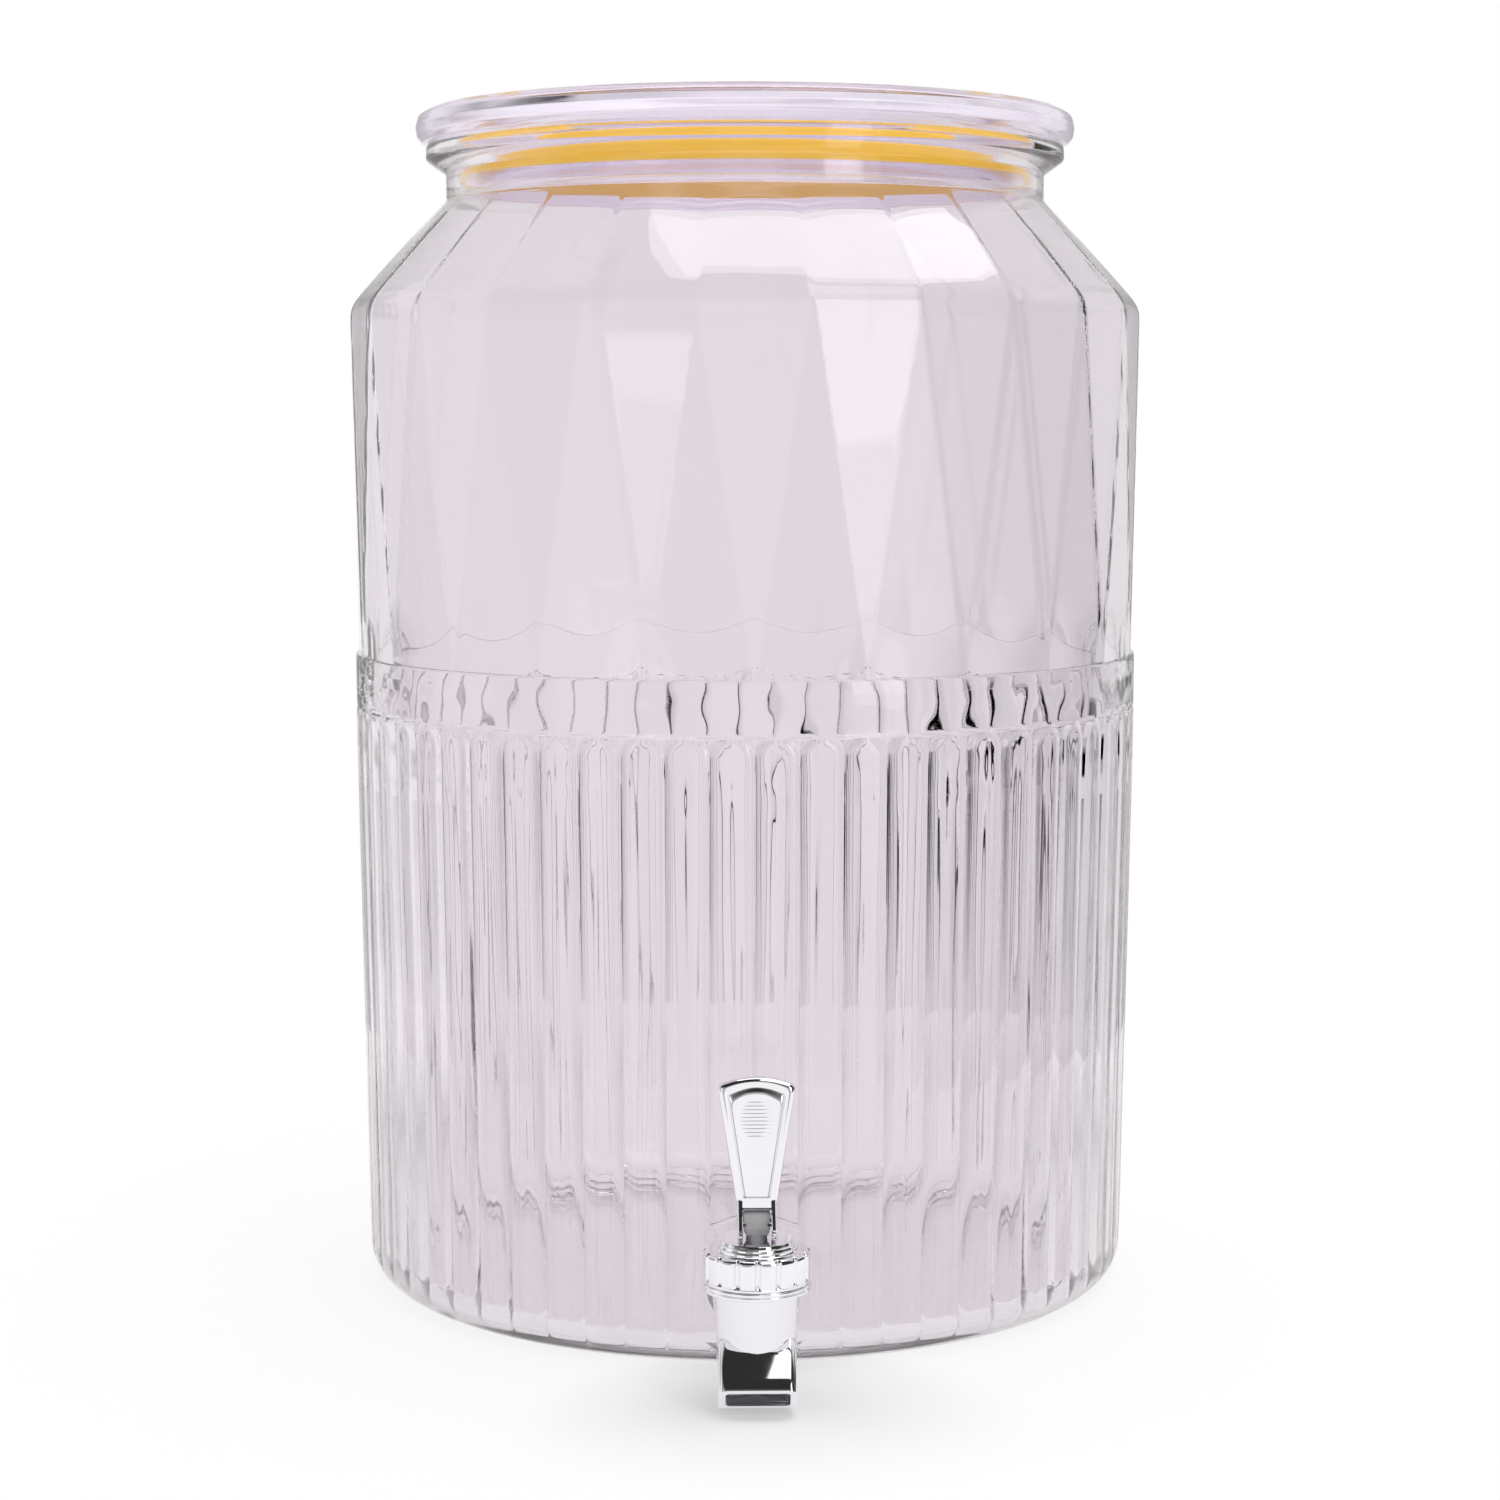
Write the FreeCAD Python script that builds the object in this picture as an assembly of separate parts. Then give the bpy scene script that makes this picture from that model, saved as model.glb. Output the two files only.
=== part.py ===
import FreeCAD, Part
import math
import os
from FreeCAD import Vector

# Clear wide-mouth dispenser jar with a push-in lid and a lever tap. Millimetres.
# Origin: centre of the standing face on the jar axis, +Z up, tap towards -Y.

# Jar heights, stacked upwards from the standing face
rib_height = 173.0          # to the arched tops of the ribs
band_height = 15.0          # plain band above the ribs
facet_height = 101.4        # flat cut facets, from the ledge to the shoulder corner
shoulder_height = 31.0      # sloped facets up to the neck
neck_height = 11.6          # up to the underside of the mouth flange
flange_thickness = 4.0

# Jar radii and walls
body_radius = 116.4         # crests of the ribs at their tops
rib_count = 60
rib_depth = 1.8             # crest to valley
body_draft = 2.6            # radius lost from the rib tops down to the standing face
band_recess = 0.2           # band below the crests
ledge_width = 0.3           # step in from the band to the lower facet corners
facet_count = 24            # corners round the top of the facets, and as many round their foot
facet_corner_rise = 0.2     # top facet corners stand this far outside the crests
neck_radius = 88.2
neck_wall = 3.2
flange_width = 5.8          # mouth flange beyond the neck
flange_bevel = 4.0          # height of the bevel under the flange
wall = 2.8
base_thickness = 4.0
corner_radius = 11.0        # round between the wall and the foot
foot_land = 7.0             # width of the ring that the jar stands on
foot_recess = 1.5           # hollow under the base inside that ring

# Lid
lid_overhang = 3.0          # rim beyond the mouth flange
lid_rim_height = 10.0       # top of the rim above the mouth
lid_rim_width = 7.5
lid_bead_lift = 0.8         # lower edge of the bead above the mouth
lid_bead_undercut = 2.0     # lower edge of the bead inside its widest line
lid_bead_crown = 3.4        # top edge of the bead inside its widest line
lid_panel = 2.6
lid_dish = 3.0              # panel below the top of the rim
lid_skirt = 2.4             # wall of the plug that enters the neck
lid_plug_depth = 13.0       # plug below the flange top
seal_height = 8.0
seal_drop = 1.2             # seal below the flange top
seal_groove = 1.2           # how deep the seal sits in the skirt
seal_gap = 0.3              # seal to neck bore
seal_swell = 0.7            # how far the face of the seal bulges
plug_gap = 2.2              # skirt to neck bore

# Tap seat moulded in the jar wall
tap_height = 23.0           # inlet axis above the standing face
pad_radius = 20.0
pad_depth = 1.2             # flat pad behind the crests
pad_thickness = 4.4
shank_radius = 8.0
shank_bore = 5.0            # radius
shank_gap = 0.3             # shank to the hole in the wall

# Tap body
tap_reach = 24.9            # pad to the barrel axis
barrel_top_radius = 11.7
barrel_foot_radius = 10.4
barrel_foot_drop = 13.0     # inlet axis down to the narrow end of the barrel
barrel_bore = 9.2
collar_radius = 14.4
collar_drop = 7.2           # inlet axis up to the underside of the collar
collar_height = 2.1
spigot_radius = 12.2
spigot_height = 5.3
seat_drop = 6.5             # inlet axis down to the valve seat
seat_land = 2.0
seat_bore = 6.0
neck_pipe_radius = 7.5
tap_flange_radius = 11.5
tap_flange_thickness = 2.5
washer_thickness = 1.5
inner_washer_radius = 13.0
nut_across_flats = 24.0
nut_thickness = 6.0
shank_tail = 1.5            # shank beyond the nut
thread_gap = 0.1

# Spout
spout_width = 20.4
spout_wall = 1.8
spout_lip_reach = 16.5      # barrel axis forward to the lip
spout_lip_height = 7.4      # lip above the standing face
spout_foot_reach = 13.2
spout_foot_height = 1.9     # lowest edge above the standing face
spout_brow_reach = 8.6      # where the scooped front leaves the barrel
spout_brow_height = 18.6
spout_scoop = 1.5           # hollow of the scooped front
spout_heel_reach = 6.0      # barrel axis back to the end of the chute
spout_lip_wall = 0.9
spout_edge = 2.2            # round along the sides of the scooped front

# Bonnet
bonnet_radius = 14.15
bonnet_height = 8.5
bonnet_lobes = 16
bonnet_groove = 0.75        # radius of the grooves between the lobes
boss_radius = 9.5
boss_height = 2.7
boss_steps = 3
boss_step = 0.7             # each ring step is this much wider than the one above
bonnet_bevel = 0.8
gasket_thickness = 1.0

# Valve stem, plug and spring
stem_radius = 2.75
stem_gap = 0.1
stem_collar_radius = 6.0
stem_collar_height = 1.5
stem_tip = 4.6              # stem inside the plug
plug_radius = 7.8
plug_height = 6.4
seat_lip = 0.9              # plug beyond the edge of the seat bore
seat_gap = 0.05
spring_radius = 4.5         # middle of the coil
spring_wire = 0.7
spring_turns = 5
spring_gap = 0.1
head_width = 7.2
head_radius = 3.0           # round of the stem head about the pin
pin_height = 4.2            # pin above the boss
pin_radius = 1.2
pin_gap = 0.05

# Lever
leg_thickness = 1.4
leg_gap = 0.15              # leg to stem head
lever_lift = 3.3            # stem lift per radian of tilt
lever_open = 60.0           # degrees from closed to fully open
heel_gap = 0.1
heel_back = 3.0             # flat heel behind the pin
heel_stop = 1.2             # flat that rests on the boss when fully open
paddle_foot = 3.3           # pin up to the paddle
paddle_length = 35.5
paddle_top_width = 20.3
paddle_arch = 2.2           # rise of the arched top edge
paddle_thickness = 3.8
paddle_frame = 2.0
paddle_edge = 0.6           # round on the rims of the paddle
paddle_recess = 1.2
paddle_bar = 3.6            # crossbar at the foot of the recess
grip_ridges = 7
grip_radius = 0.3
grip_pitch = 1.45
grip_length = 8.6           # longest ridge
grip_inset = 6.5            # top ridge below the top of the paddle

# Tolerance
same_place = 1e-6           # points closer than this count as one

# Levels and radii that follow from the sizes above
rib_top = rib_height
ledge = rib_top + band_height
shoulder_corner = ledge + facet_height
neck_foot = shoulder_corner + shoulder_height
flange_foot = neck_foot + neck_height
mouth = flange_foot + flange_thickness
band_radius = body_radius - band_recess
facet_foot_radius = band_radius - ledge_width
facet_top_radius = body_radius + facet_corner_rise
neck_bore = neck_radius - neck_wall
flange_radius = neck_radius + flange_width
floor_top = foot_recess + base_thickness
pad_face = -(body_radius - body_draft * (1 - tap_height / rib_top) - pad_depth)
pad_back = pad_face + pad_thickness
barrel_y = pad_face - tap_reach
collar_foot = tap_height + collar_drop
collar_top = collar_foot + collar_height
spigot_top = collar_top + spigot_height
gasket_top = spigot_top + gasket_thickness
bonnet_top = collar_top + bonnet_height
boss_top = bonnet_top + boss_height
seat = tap_height - seat_drop
plug_foot = seat + seat_gap
plug_top = plug_foot + plug_height
stem_collar_top = plug_top + stem_collar_height
pin_z = boss_top + pin_height
barrel_axis = Vector(0, barrel_y, 0)
leg_inner = head_width / 2 + leg_gap
leg_outer = leg_inner + leg_thickness


def closed_wire(place, start, *steps):
    """Wire through 2-D points; a step is an end point, or (middle, end) of an arc."""
    edges = []
    here = start
    for step in steps + (start,):
        is_arc = isinstance(step[0], tuple)
        end = step[1] if is_arc else step
        if is_arc:
            edges.append(Part.Arc(place(here), place(step[0]), place(end)).toShape())
        elif math.dist(here, end) > same_place:
            edges.append(Part.LineSegment(place(here), place(end)).toShape())
        here = end
    return Part.Wire(edges)


def in_xz(point):
    return Vector(point[0], 0, point[1])


def turned(start, *steps, about=Vector(0, 0, 0)):
    """Solid of revolution about +Z from a (radius, height) outline."""
    face = Part.Face(closed_wire(in_xz, start, *steps))
    face.translate(about)
    return face.revolve(about, Vector(0, 0, 1), 360)


def side_plate(width, start, *steps, about=Vector(0, 0, 0)):
    """Plate of the given width across X from a (y, z) outline."""
    wire = closed_wire(lambda p: Vector(-width / 2, p[0], p[1]), start, *steps)
    plate = Part.Face(wire).extrude(Vector(width, 0, 0))
    plate.translate(about)
    return plate


def on_circle(radius, degrees, height):
    angle = math.radians(degrees)
    return Vector(radius * math.sin(angle), -radius * math.cos(angle), height)


def corner_middle(centre, radius, degrees):
    """Point on an arc, for the middle of a rounded corner in an outline."""
    angle = math.radians(degrees)
    return (centre[0] + radius * math.cos(angle), centre[1] + radius * math.sin(angle))


def inlet_rod(radius, start, length):
    """Cylinder on the inlet axis, from y = start outwards to +Y."""
    return Part.makeCylinder(radius, length, Vector(0, start, tap_height), Vector(0, 1, 0))


def flat_face(corners):
    return Part.Face(Part.makePolygon(corners + corners[:1]))


def faceted_solid(inset):
    """Facets between ledge and neck: triangles point up and down in turn, as on cut glass."""
    step = 360 / facet_count
    neck = neck_radius - inset
    tops, feet, necks = [], [], []
    for i in range(facet_count):
        corner = (i + 0.5) * step
        tops.append(on_circle(facet_top_radius - inset, corner, shoulder_corner))
        feet.append(on_circle(facet_foot_radius - inset, i * step, ledge))
        necks.append(on_circle(neck / math.cos(math.radians(step / 2)), corner, neck_foot))
    faces = [flat_face(necks), flat_face(feet)]
    for i in range(facet_count):
        j = (i + 1) % facet_count
        faces.append(flat_face([tops[i], feet[i], feet[j]]))
        faces.append(flat_face([tops[i], feet[j], tops[j]]))
        faces.append(flat_face([tops[i], tops[j], necks[j], necks[i]]))
    solid = Part.makeSolid(Part.makeShell(faces))
    solid.fix(1e-4, 1e-4, 1e-4)
    return solid if solid.Volume > 0 else solid.reversed()


def rib():
    """One rib with a domed top: a slim round bar in the wall, leaning with the draft."""
    half_pitch = math.pi / rib_count
    valley = body_radius - rib_depth
    chord = valley * math.sin(half_pitch)
    rise = body_radius - valley * math.cos(half_pitch)
    radius = (chord ** 2 + rise ** 2) / (2 * rise)
    dome = rib_top - chord
    bar = turned((0, 0), (radius, 0), (radius, dome),
                 (corner_middle((0, dome), radius, 45), (0, dome + radius)))
    lean = math.degrees(math.atan2(body_draft, rib_top))
    bar.translate(Vector(0, -(body_radius - radius), 0))
    bar.rotate(Vector(0, -body_radius, rib_top), Vector(1, 0, 0), lean)
    return bar


def jar_envelope():
    """Outer turned form below the ledge, out to the rib crests, with the rounded foot."""
    foot = body_radius - body_draft
    centre = (foot - corner_radius, corner_radius)
    return turned((0, 0), (foot - corner_radius, 0),
                  (corner_middle(centre, corner_radius, -45), (foot, corner_radius)),
                  (body_radius, rib_top), (band_radius, rib_top), (band_radius, ledge), (0, ledge))


def jar_core():
    """The same form at the depth of the valleys between the ribs."""
    foot = body_radius - rib_depth - body_draft
    valley = body_radius - rib_depth
    slope = rib_depth - band_recess
    return turned((0, 0), (foot, 0), (valley, rib_top - slope), (band_radius, rib_top),
                  (band_radius, ledge), (0, ledge))


def jar_hollow():
    """Inside of the jar: smooth behind the ribs, faceted above, round in the neck."""
    foot = body_radius - rib_depth - body_draft - wall
    top = band_radius - ledge_width - wall
    inner_corner = corner_radius - wall
    centre = (foot - inner_corner, floor_top + inner_corner)
    lower = turned((0, floor_top), (foot - inner_corner, floor_top),
                   (corner_middle(centre, inner_corner, -45), (foot, floor_top + inner_corner)),
                   (body_radius - rib_depth - wall, rib_top - rib_depth),
                   (top - rib_depth, ledge), (0, ledge))
    bore = Part.makeCylinder(neck_bore, mouth - ledge, Vector(0, 0, ledge))
    return lower.fuse([faceted_solid(wall), bore])


def jar_mouth():
    """Round neck with its flange, bevelled underneath."""
    return turned((0, neck_foot), (neck_radius, neck_foot), (neck_radius, flange_foot - flange_bevel),
                  (flange_radius, flange_foot), (flange_radius, mouth), (0, mouth))


def jar_body():
    ribs = []
    for i in range(rib_count):
        bar = rib()
        bar.rotate(Vector(0, 0, 0), Vector(0, 0, 1), (i + 0.5) * 360 / rib_count)
        ribs.append(bar)
    fluted = jar_core().fuse(ribs).common(jar_envelope())
    outer = fluted.fuse([faceted_solid(0), jar_mouth(), inlet_rod(pad_radius, pad_face, pad_thickness)])
    outer = outer.cut(inlet_rod(pad_radius, pad_face - pad_radius, pad_radius))
    hollow = jar_hollow().cut(inlet_rod(pad_radius, pad_face, pad_thickness))
    land = body_radius - body_draft - corner_radius - foot_land
    recess = Part.makeCylinder(land, foot_recess)
    hole = inlet_rod(shank_radius + shank_gap, pad_face - pad_radius, 2 * pad_radius)
    return outer.cut([hollow, recess, hole]).removeSplitter()


def lid():
    """Push-in lid: thick rounded rim, dished panel and a hollow plug grooved for the seal."""
    rim = flange_radius + lid_overhang
    top = mouth + lid_rim_height
    bead_foot = (rim - lid_bead_undercut, mouth + lid_bead_lift)
    bead_side = (rim, (bead_foot[1] + top) / 2)
    skirt_outer = neck_bore - plug_gap
    skirt_inner = skirt_outer - lid_skirt
    plug_foot_z = mouth - lid_plug_depth
    seal_top = mouth - seal_drop
    seal_foot = seal_top - seal_height
    groove = skirt_outer - seal_groove
    panel_top = top - lid_dish
    panel_edge = rim - lid_rim_width
    return turned((0, panel_top - lid_panel), (skirt_inner, panel_top - lid_panel),
                  (skirt_inner, plug_foot_z), (skirt_outer, plug_foot_z),
                  (skirt_outer, seal_foot), (groove, seal_foot), (groove, seal_top),
                  (skirt_outer, seal_top), (skirt_outer, mouth),
                  (bead_foot[0] - lid_bead_undercut, mouth), bead_foot,
                  (bead_side, (rim - lid_bead_crown, top)),
                  (panel_edge, top), (panel_edge, panel_top), (0, panel_top))


def lid_seal():
    """Silicone ring in the groove of the plug, swelling out to the neck bore."""
    groove = neck_bore - plug_gap - seal_groove
    lip = neck_bore - seal_gap
    edge = lip - seal_swell
    top = mouth - seal_drop
    foot = top - seal_height
    return turned((groove, foot), (edge, foot), ((lip, (foot + top) / 2), (edge, top)), (groove, top))


def barrel():
    """Upright barrel with its collar and the threaded spigot for the bonnet."""
    foot = tap_height - barrel_foot_drop
    return turned((0, foot), (barrel_foot_radius, foot), (barrel_top_radius, collar_foot),
                  (collar_radius, collar_foot), (collar_radius, collar_top),
                  (spigot_radius, collar_top), (spigot_radius, spigot_top), (0, spigot_top),
                  about=barrel_axis)


def scooped(start, end):
    """Middle of the hollow front between two (y, z) points."""
    run = (end[0] - start[0], end[1] - start[1])
    length = math.hypot(*run)
    return ((start[0] + end[0]) / 2 - run[1] / length * spout_scoop,
            (start[1] + end[1]) / 2 + run[0] / length * spout_scoop)


def spout():
    """Chute below the barrel with a scooped front and a mouth cut forward and down."""
    brow = (-spout_brow_reach, spout_brow_height)
    lip = (-spout_lip_reach, spout_lip_height)
    foot = (-spout_foot_reach, spout_foot_height)
    heel = (spout_heel_reach, tap_height - barrel_foot_drop)
    block = side_plate(spout_width, brow, (scooped(brow, lip), lip), foot, heel,
                       (spout_heel_reach, spout_brow_height), about=barrel_axis)
    curves = [e for e in block.Edges if e.Curve.TypeId == "Part::GeomCircle"]
    return block.makeFillet(spout_edge, curves)


def chute():
    """Passage from the valve seat down through the mouth."""
    lip = (-spout_lip_reach, spout_lip_height)
    foot = (-spout_foot_reach, spout_foot_height)
    mouth_length = math.dist(lip, foot)
    down = ((foot[0] - lip[0]) / mouth_length, (foot[1] - lip[1]) / mouth_length)
    upper = (lip[0] + down[0] * spout_lip_wall, lip[1] + down[1] * spout_lip_wall)
    lower = (foot[0] - down[0] * spout_lip_wall, foot[1] - down[1] * spout_lip_wall)
    out = (down[1] * spout_wall, -down[0] * spout_wall)
    roof = seat - seat_land
    start = (-seat_bore, roof)
    back = (spout_heel_reach, tap_height - barrel_foot_drop + spout_wall)
    return side_plate(spout_width - 2 * spout_wall, start, (scooped(start, upper), upper),
                      (upper[0] + out[0], upper[1] + out[1]), (lower[0] + out[0], lower[1] + out[1]),
                      lower, back, (spout_heel_reach, roof), about=barrel_axis)


def tap_body():
    """Barrel, spout and threaded shank in one moulding, bored for the valve."""
    flange_y = pad_face - washer_thickness
    shank_end = pad_back + washer_thickness + nut_thickness + shank_tail
    pipe = inlet_rod(neck_pipe_radius, barrel_y, flange_y - barrel_y)
    flange = inlet_rod(tap_flange_radius, flange_y - tap_flange_thickness, tap_flange_thickness)
    shank = inlet_rod(shank_radius, flange_y, shank_end - flange_y)
    chamber = Part.makeCylinder(barrel_bore, spigot_top - seat, barrel_axis + Vector(0, 0, seat))
    drain = Part.makeCylinder(seat_bore, seat_land, barrel_axis + Vector(0, 0, seat - seat_land))
    inlet = inlet_rod(shank_bore, barrel_y, shank_end - barrel_y)
    solid = barrel().fuse([spout(), pipe, flange, shank])
    return solid.cut([chamber, drain, chute(), inlet]).removeSplitter()


def tap_bonnet():
    """Screwed cap with broad grip lobes, a stepped boss and the stem hole."""
    hole = stem_radius + stem_gap
    thread = spigot_radius + thread_gap
    steps = []
    for i in range(boss_steps):
        radius = boss_radius + (boss_steps - 1 - i) * boss_step
        steps.append((radius, bonnet_top + i * boss_height / boss_steps))
        steps.append((radius, bonnet_top + (i + 1) * boss_height / boss_steps))
    cap = turned((hole, gasket_top), (thread, gasket_top), (thread, collar_top),
                 (bonnet_radius, collar_top), (bonnet_radius, bonnet_top - bonnet_bevel),
                 (bonnet_radius - bonnet_bevel, bonnet_top), *steps, (hole, boss_top),
                 about=barrel_axis)
    grooves = []
    for i in range(bonnet_lobes):
        groove = Part.makeCylinder(bonnet_groove, bonnet_height,
                                   Vector(0, -bonnet_radius, collar_top))
        groove.rotate(Vector(0, 0, 0), Vector(0, 0, 1), i * 360 / bonnet_lobes)
        groove.translate(barrel_axis)
        grooves.append(groove)
    return cap.cut(grooves)


def bonnet_gasket():
    """Silicone washer clamped between spigot and bonnet, wiping the stem."""
    return turned((stem_radius + stem_gap, spigot_top), (spigot_radius, spigot_top),
                  (spigot_radius, gasket_top), (stem_radius + stem_gap, gasket_top),
                  about=barrel_axis)


def valve_stem():
    """Stem with the spring collar below and the head that carries the lever pin above."""
    tip = plug_top - stem_tip
    head_foot = pin_z - head_radius
    rod = turned((0, tip), (stem_radius, tip), (stem_radius, plug_top),
                 (stem_collar_radius, plug_top), (stem_collar_radius, stem_collar_top),
                 (stem_radius, stem_collar_top), (stem_radius, head_foot), (0, head_foot),
                 about=barrel_axis)
    head = side_plate(head_width, (-head_radius, head_foot), (-head_radius, pin_z),
                      ((0, pin_z + head_radius), (head_radius, pin_z)), (head_radius, head_foot),
                      about=barrel_axis)
    return rod.fuse(head).cut(pin_rod(pin_radius, head_width)).removeSplitter()


def seat_plug():
    """Silicone plug on the stem tip that closes the valve seat."""
    lip = seat_bore + seat_lip
    tip = plug_top - stem_tip
    return turned((0, plug_foot), (lip, plug_foot), (plug_radius, plug_foot + seat_lip),
                  (plug_radius, plug_top), (stem_radius, plug_top), (stem_radius, tip), (0, tip),
                  about=barrel_axis)


def arc_towards(start, tangent, end):
    """Circular edge that leaves start along the tangent and reaches end."""
    chord = end - start
    along = Vector(chord).normalize()
    side = (tangent - along * tangent.dot(along)).normalize()
    sagitta = chord.Length / 2 * math.tan(tangent.getAngle(chord) / 2)
    return Part.Arc(start, start + chord / 2 + side * sagitta, end).toShape()


def coil_path(radius, pitch, turns, foot):
    """Helix about the barrel axis as pairs of tangent arcs, four pairs to a turn."""
    edges = []

    def point(angle):
        height = foot + pitch * angle / (2 * math.pi)
        return barrel_axis + Vector(radius * math.cos(angle), radius * math.sin(angle), height)

    def tangent(angle):
        rise = pitch / (2 * math.pi)
        return Vector(-radius * math.sin(angle), radius * math.cos(angle), rise).normalize()

    for i in range(4 * turns):
        first, last = i * math.pi / 2, (i + 1) * math.pi / 2
        a, b, ta, tb = point(first), point(last), tangent(first), tangent(last)
        v, t, k = b - a, ta + tb, 2 * (1 - ta.dot(tb))
        d = (-v.dot(t) + math.sqrt(v.dot(t) ** 2 + k * v.dot(v))) / k
        joint = (a + b + (ta - tb) * d) / 2
        edges.append(arc_towards(a, ta, joint))
        edges.append(arc_towards(joint, (joint - a - ta * d).normalize(), b))
    return Part.Wire(edges)


def return_spring():
    """Coil between the stem collar and the gasket."""
    foot = stem_collar_top + spring_wire / 2 + spring_gap
    head = spigot_top - spring_wire / 2 - spring_gap
    pitch = (head - foot) / spring_turns
    path = coil_path(spring_radius, pitch, spring_turns, foot)
    start = path.Edges[0].valueAt(path.Edges[0].FirstParameter)
    heading = path.Edges[0].tangentAt(path.Edges[0].FirstParameter)
    section = Part.Wire(Part.makeCircle(spring_wire / 2, start, heading))
    print("spring gap between turns", round(pitch - spring_wire, 2))
    return path.makePipeShell([section], True, False)


def pin_rod(radius, length):
    return Part.makeCylinder(radius, length, barrel_axis + Vector(-length / 2, 0, pin_z), Vector(1, 0, 0))


def lever_pin():
    return pin_rod(pin_radius, 2 * leg_outer)


def heel_point(degrees):
    """Cam curve of the heel: pin to boss grows evenly with the tilt of the lever."""
    tilt = math.radians(degrees)
    reach = pin_height - heel_gap + lever_lift * tilt
    return (-reach * math.sin(tilt) - lever_lift * math.cos(tilt),
            -reach * math.cos(tilt) + lever_lift * math.sin(tilt))


def lever_leg(side):
    """One fork leg with its cam heel; side is -1 or 1."""
    stop = math.radians(lever_open)
    toe = heel_point(lever_open)
    toe_tip = (toe[0] - heel_stop * math.cos(stop), toe[1] + heel_stop * math.sin(stop))
    back_foot = (heel_back, -(pin_height - heel_gap))
    half = paddle_thickness / 2
    top = paddle_foot + paddle_bar
    leg = side_plate(leg_thickness, back_foot, heel_point(0),
                     (heel_point(lever_open / 4), heel_point(lever_open / 2)),
                     (heel_point(lever_open * 3 / 4), toe), toe_tip, (-half, top), (half, top),
                     about=barrel_axis + Vector(0, 0, pin_z))
    leg.translate(Vector(side * (leg_inner + leg_thickness / 2), 0, 0))
    return leg


def paddle_blank(inset, foot, thickness, front):
    """Arched trapezoid of the paddle, drawn in by inset, from y = front backwards."""
    shoulder = paddle_foot + paddle_length - paddle_arch
    flare = (paddle_top_width / 2 - leg_outer) / (shoulder - paddle_foot)
    low = leg_outer + flare * (foot - paddle_foot) - inset
    high = leg_outer + flare * (shoulder - inset - paddle_foot) - inset
    top = shoulder - inset
    wire = closed_wire(in_xz, (-low, foot), (-high, top), ((0, top + paddle_arch), (high, top)), (low, foot))
    blank = Part.Face(wire).extrude(Vector(0, thickness, 0))
    blank.translate(barrel_axis + Vector(0, front, pin_z))
    return blank


def grip():
    """Fine ridges across the top of the recess, longest in the middle."""
    floor_y = -paddle_thickness / 2 + paddle_recess
    top = paddle_foot + paddle_length - grip_inset
    middle = (grip_ridges - 1) / 2
    ridges = []
    for i in range(grip_ridges):
        share = (i - middle) / (middle + 1)
        length = grip_length * math.sqrt(1 - share ** 2)
        place = barrel_axis + Vector(-length / 2, floor_y, pin_z + top - i * grip_pitch)
        ridges.append(Part.makeCylinder(grip_radius, length, place, Vector(1, 0, 0)))
    return ridges


def tap_lever():
    """Paddle with a recessed face on a fork that straddles the stem head."""
    half = paddle_thickness / 2
    paddle = paddle_blank(0, paddle_foot, paddle_thickness, -half)
    rims = [e for e in paddle.Edges if abs(e.CenterOfMass.y - barrel_y) > half - same_place]
    paddle = paddle.makeFillet(paddle_edge, rims)
    pocket = paddle_blank(paddle_frame, paddle_foot + paddle_bar, paddle_recess, -half)
    paddle = paddle.cut(pocket).fuse(grip())
    lever = paddle.fuse([lever_leg(-1), lever_leg(1)])
    return lever.cut(pin_rod(pin_radius + pin_gap, 3 * leg_outer)).removeSplitter()


def wall_ring(bore, radius, start, thickness):
    """Ring on the inlet axis."""
    return inlet_rod(radius, start, thickness).cut(inlet_rod(bore, start, thickness))


def outer_washer():
    return wall_ring(shank_radius + thread_gap, tap_flange_radius, pad_face - washer_thickness,
                     washer_thickness)


def inner_washer():
    return wall_ring(shank_radius + thread_gap, inner_washer_radius, pad_back, washer_thickness)


def lock_nut():
    """Hexagon nut that pulls the tap against the wall from inside."""
    start = pad_back + washer_thickness
    corner = nut_across_flats / 2 / math.cos(math.pi / 6)
    points = []
    for i in range(6):
        angle = i * math.pi / 3
        points.append(Vector(corner * math.cos(angle), start, tap_height + corner * math.sin(angle)))
    hexagon = flat_face(points).extrude(Vector(0, nut_thickness, 0))
    return hexagon.cut(inlet_rod(shank_radius + thread_gap, start, nut_thickness))


builders = [jar_body, lid, lid_seal, tap_body, outer_washer, inner_washer, lock_nut, tap_bonnet,
            bonnet_gasket, valve_stem, seat_plug, return_spring, tap_lever, lever_pin]

os.makedirs("parts", exist_ok=True)
for make in builders:
    shape = make()
    shape.exportStep(f"parts/{make.__name__}.step")
    print(make.__name__, "solids", len(shape.Solids), "volume", round(shape.Volume, 1),
          "valid", shape.isValid())
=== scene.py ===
# %% [markdown]
# # A clear dispenser jar with a lever tap
# The object is a wide-mouth jar of clear plastic that holds liquid detergent. Its upper half is cut
# in flat facets, its lower half is ribbed, and a chrome-plated tap sits low on the front.
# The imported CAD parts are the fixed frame. Each cell below adds one finish or one finer shape to it.

# %% Load the frame
import math

import bmesh
import bpy
from mathutils import Matrix, Vector


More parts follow.
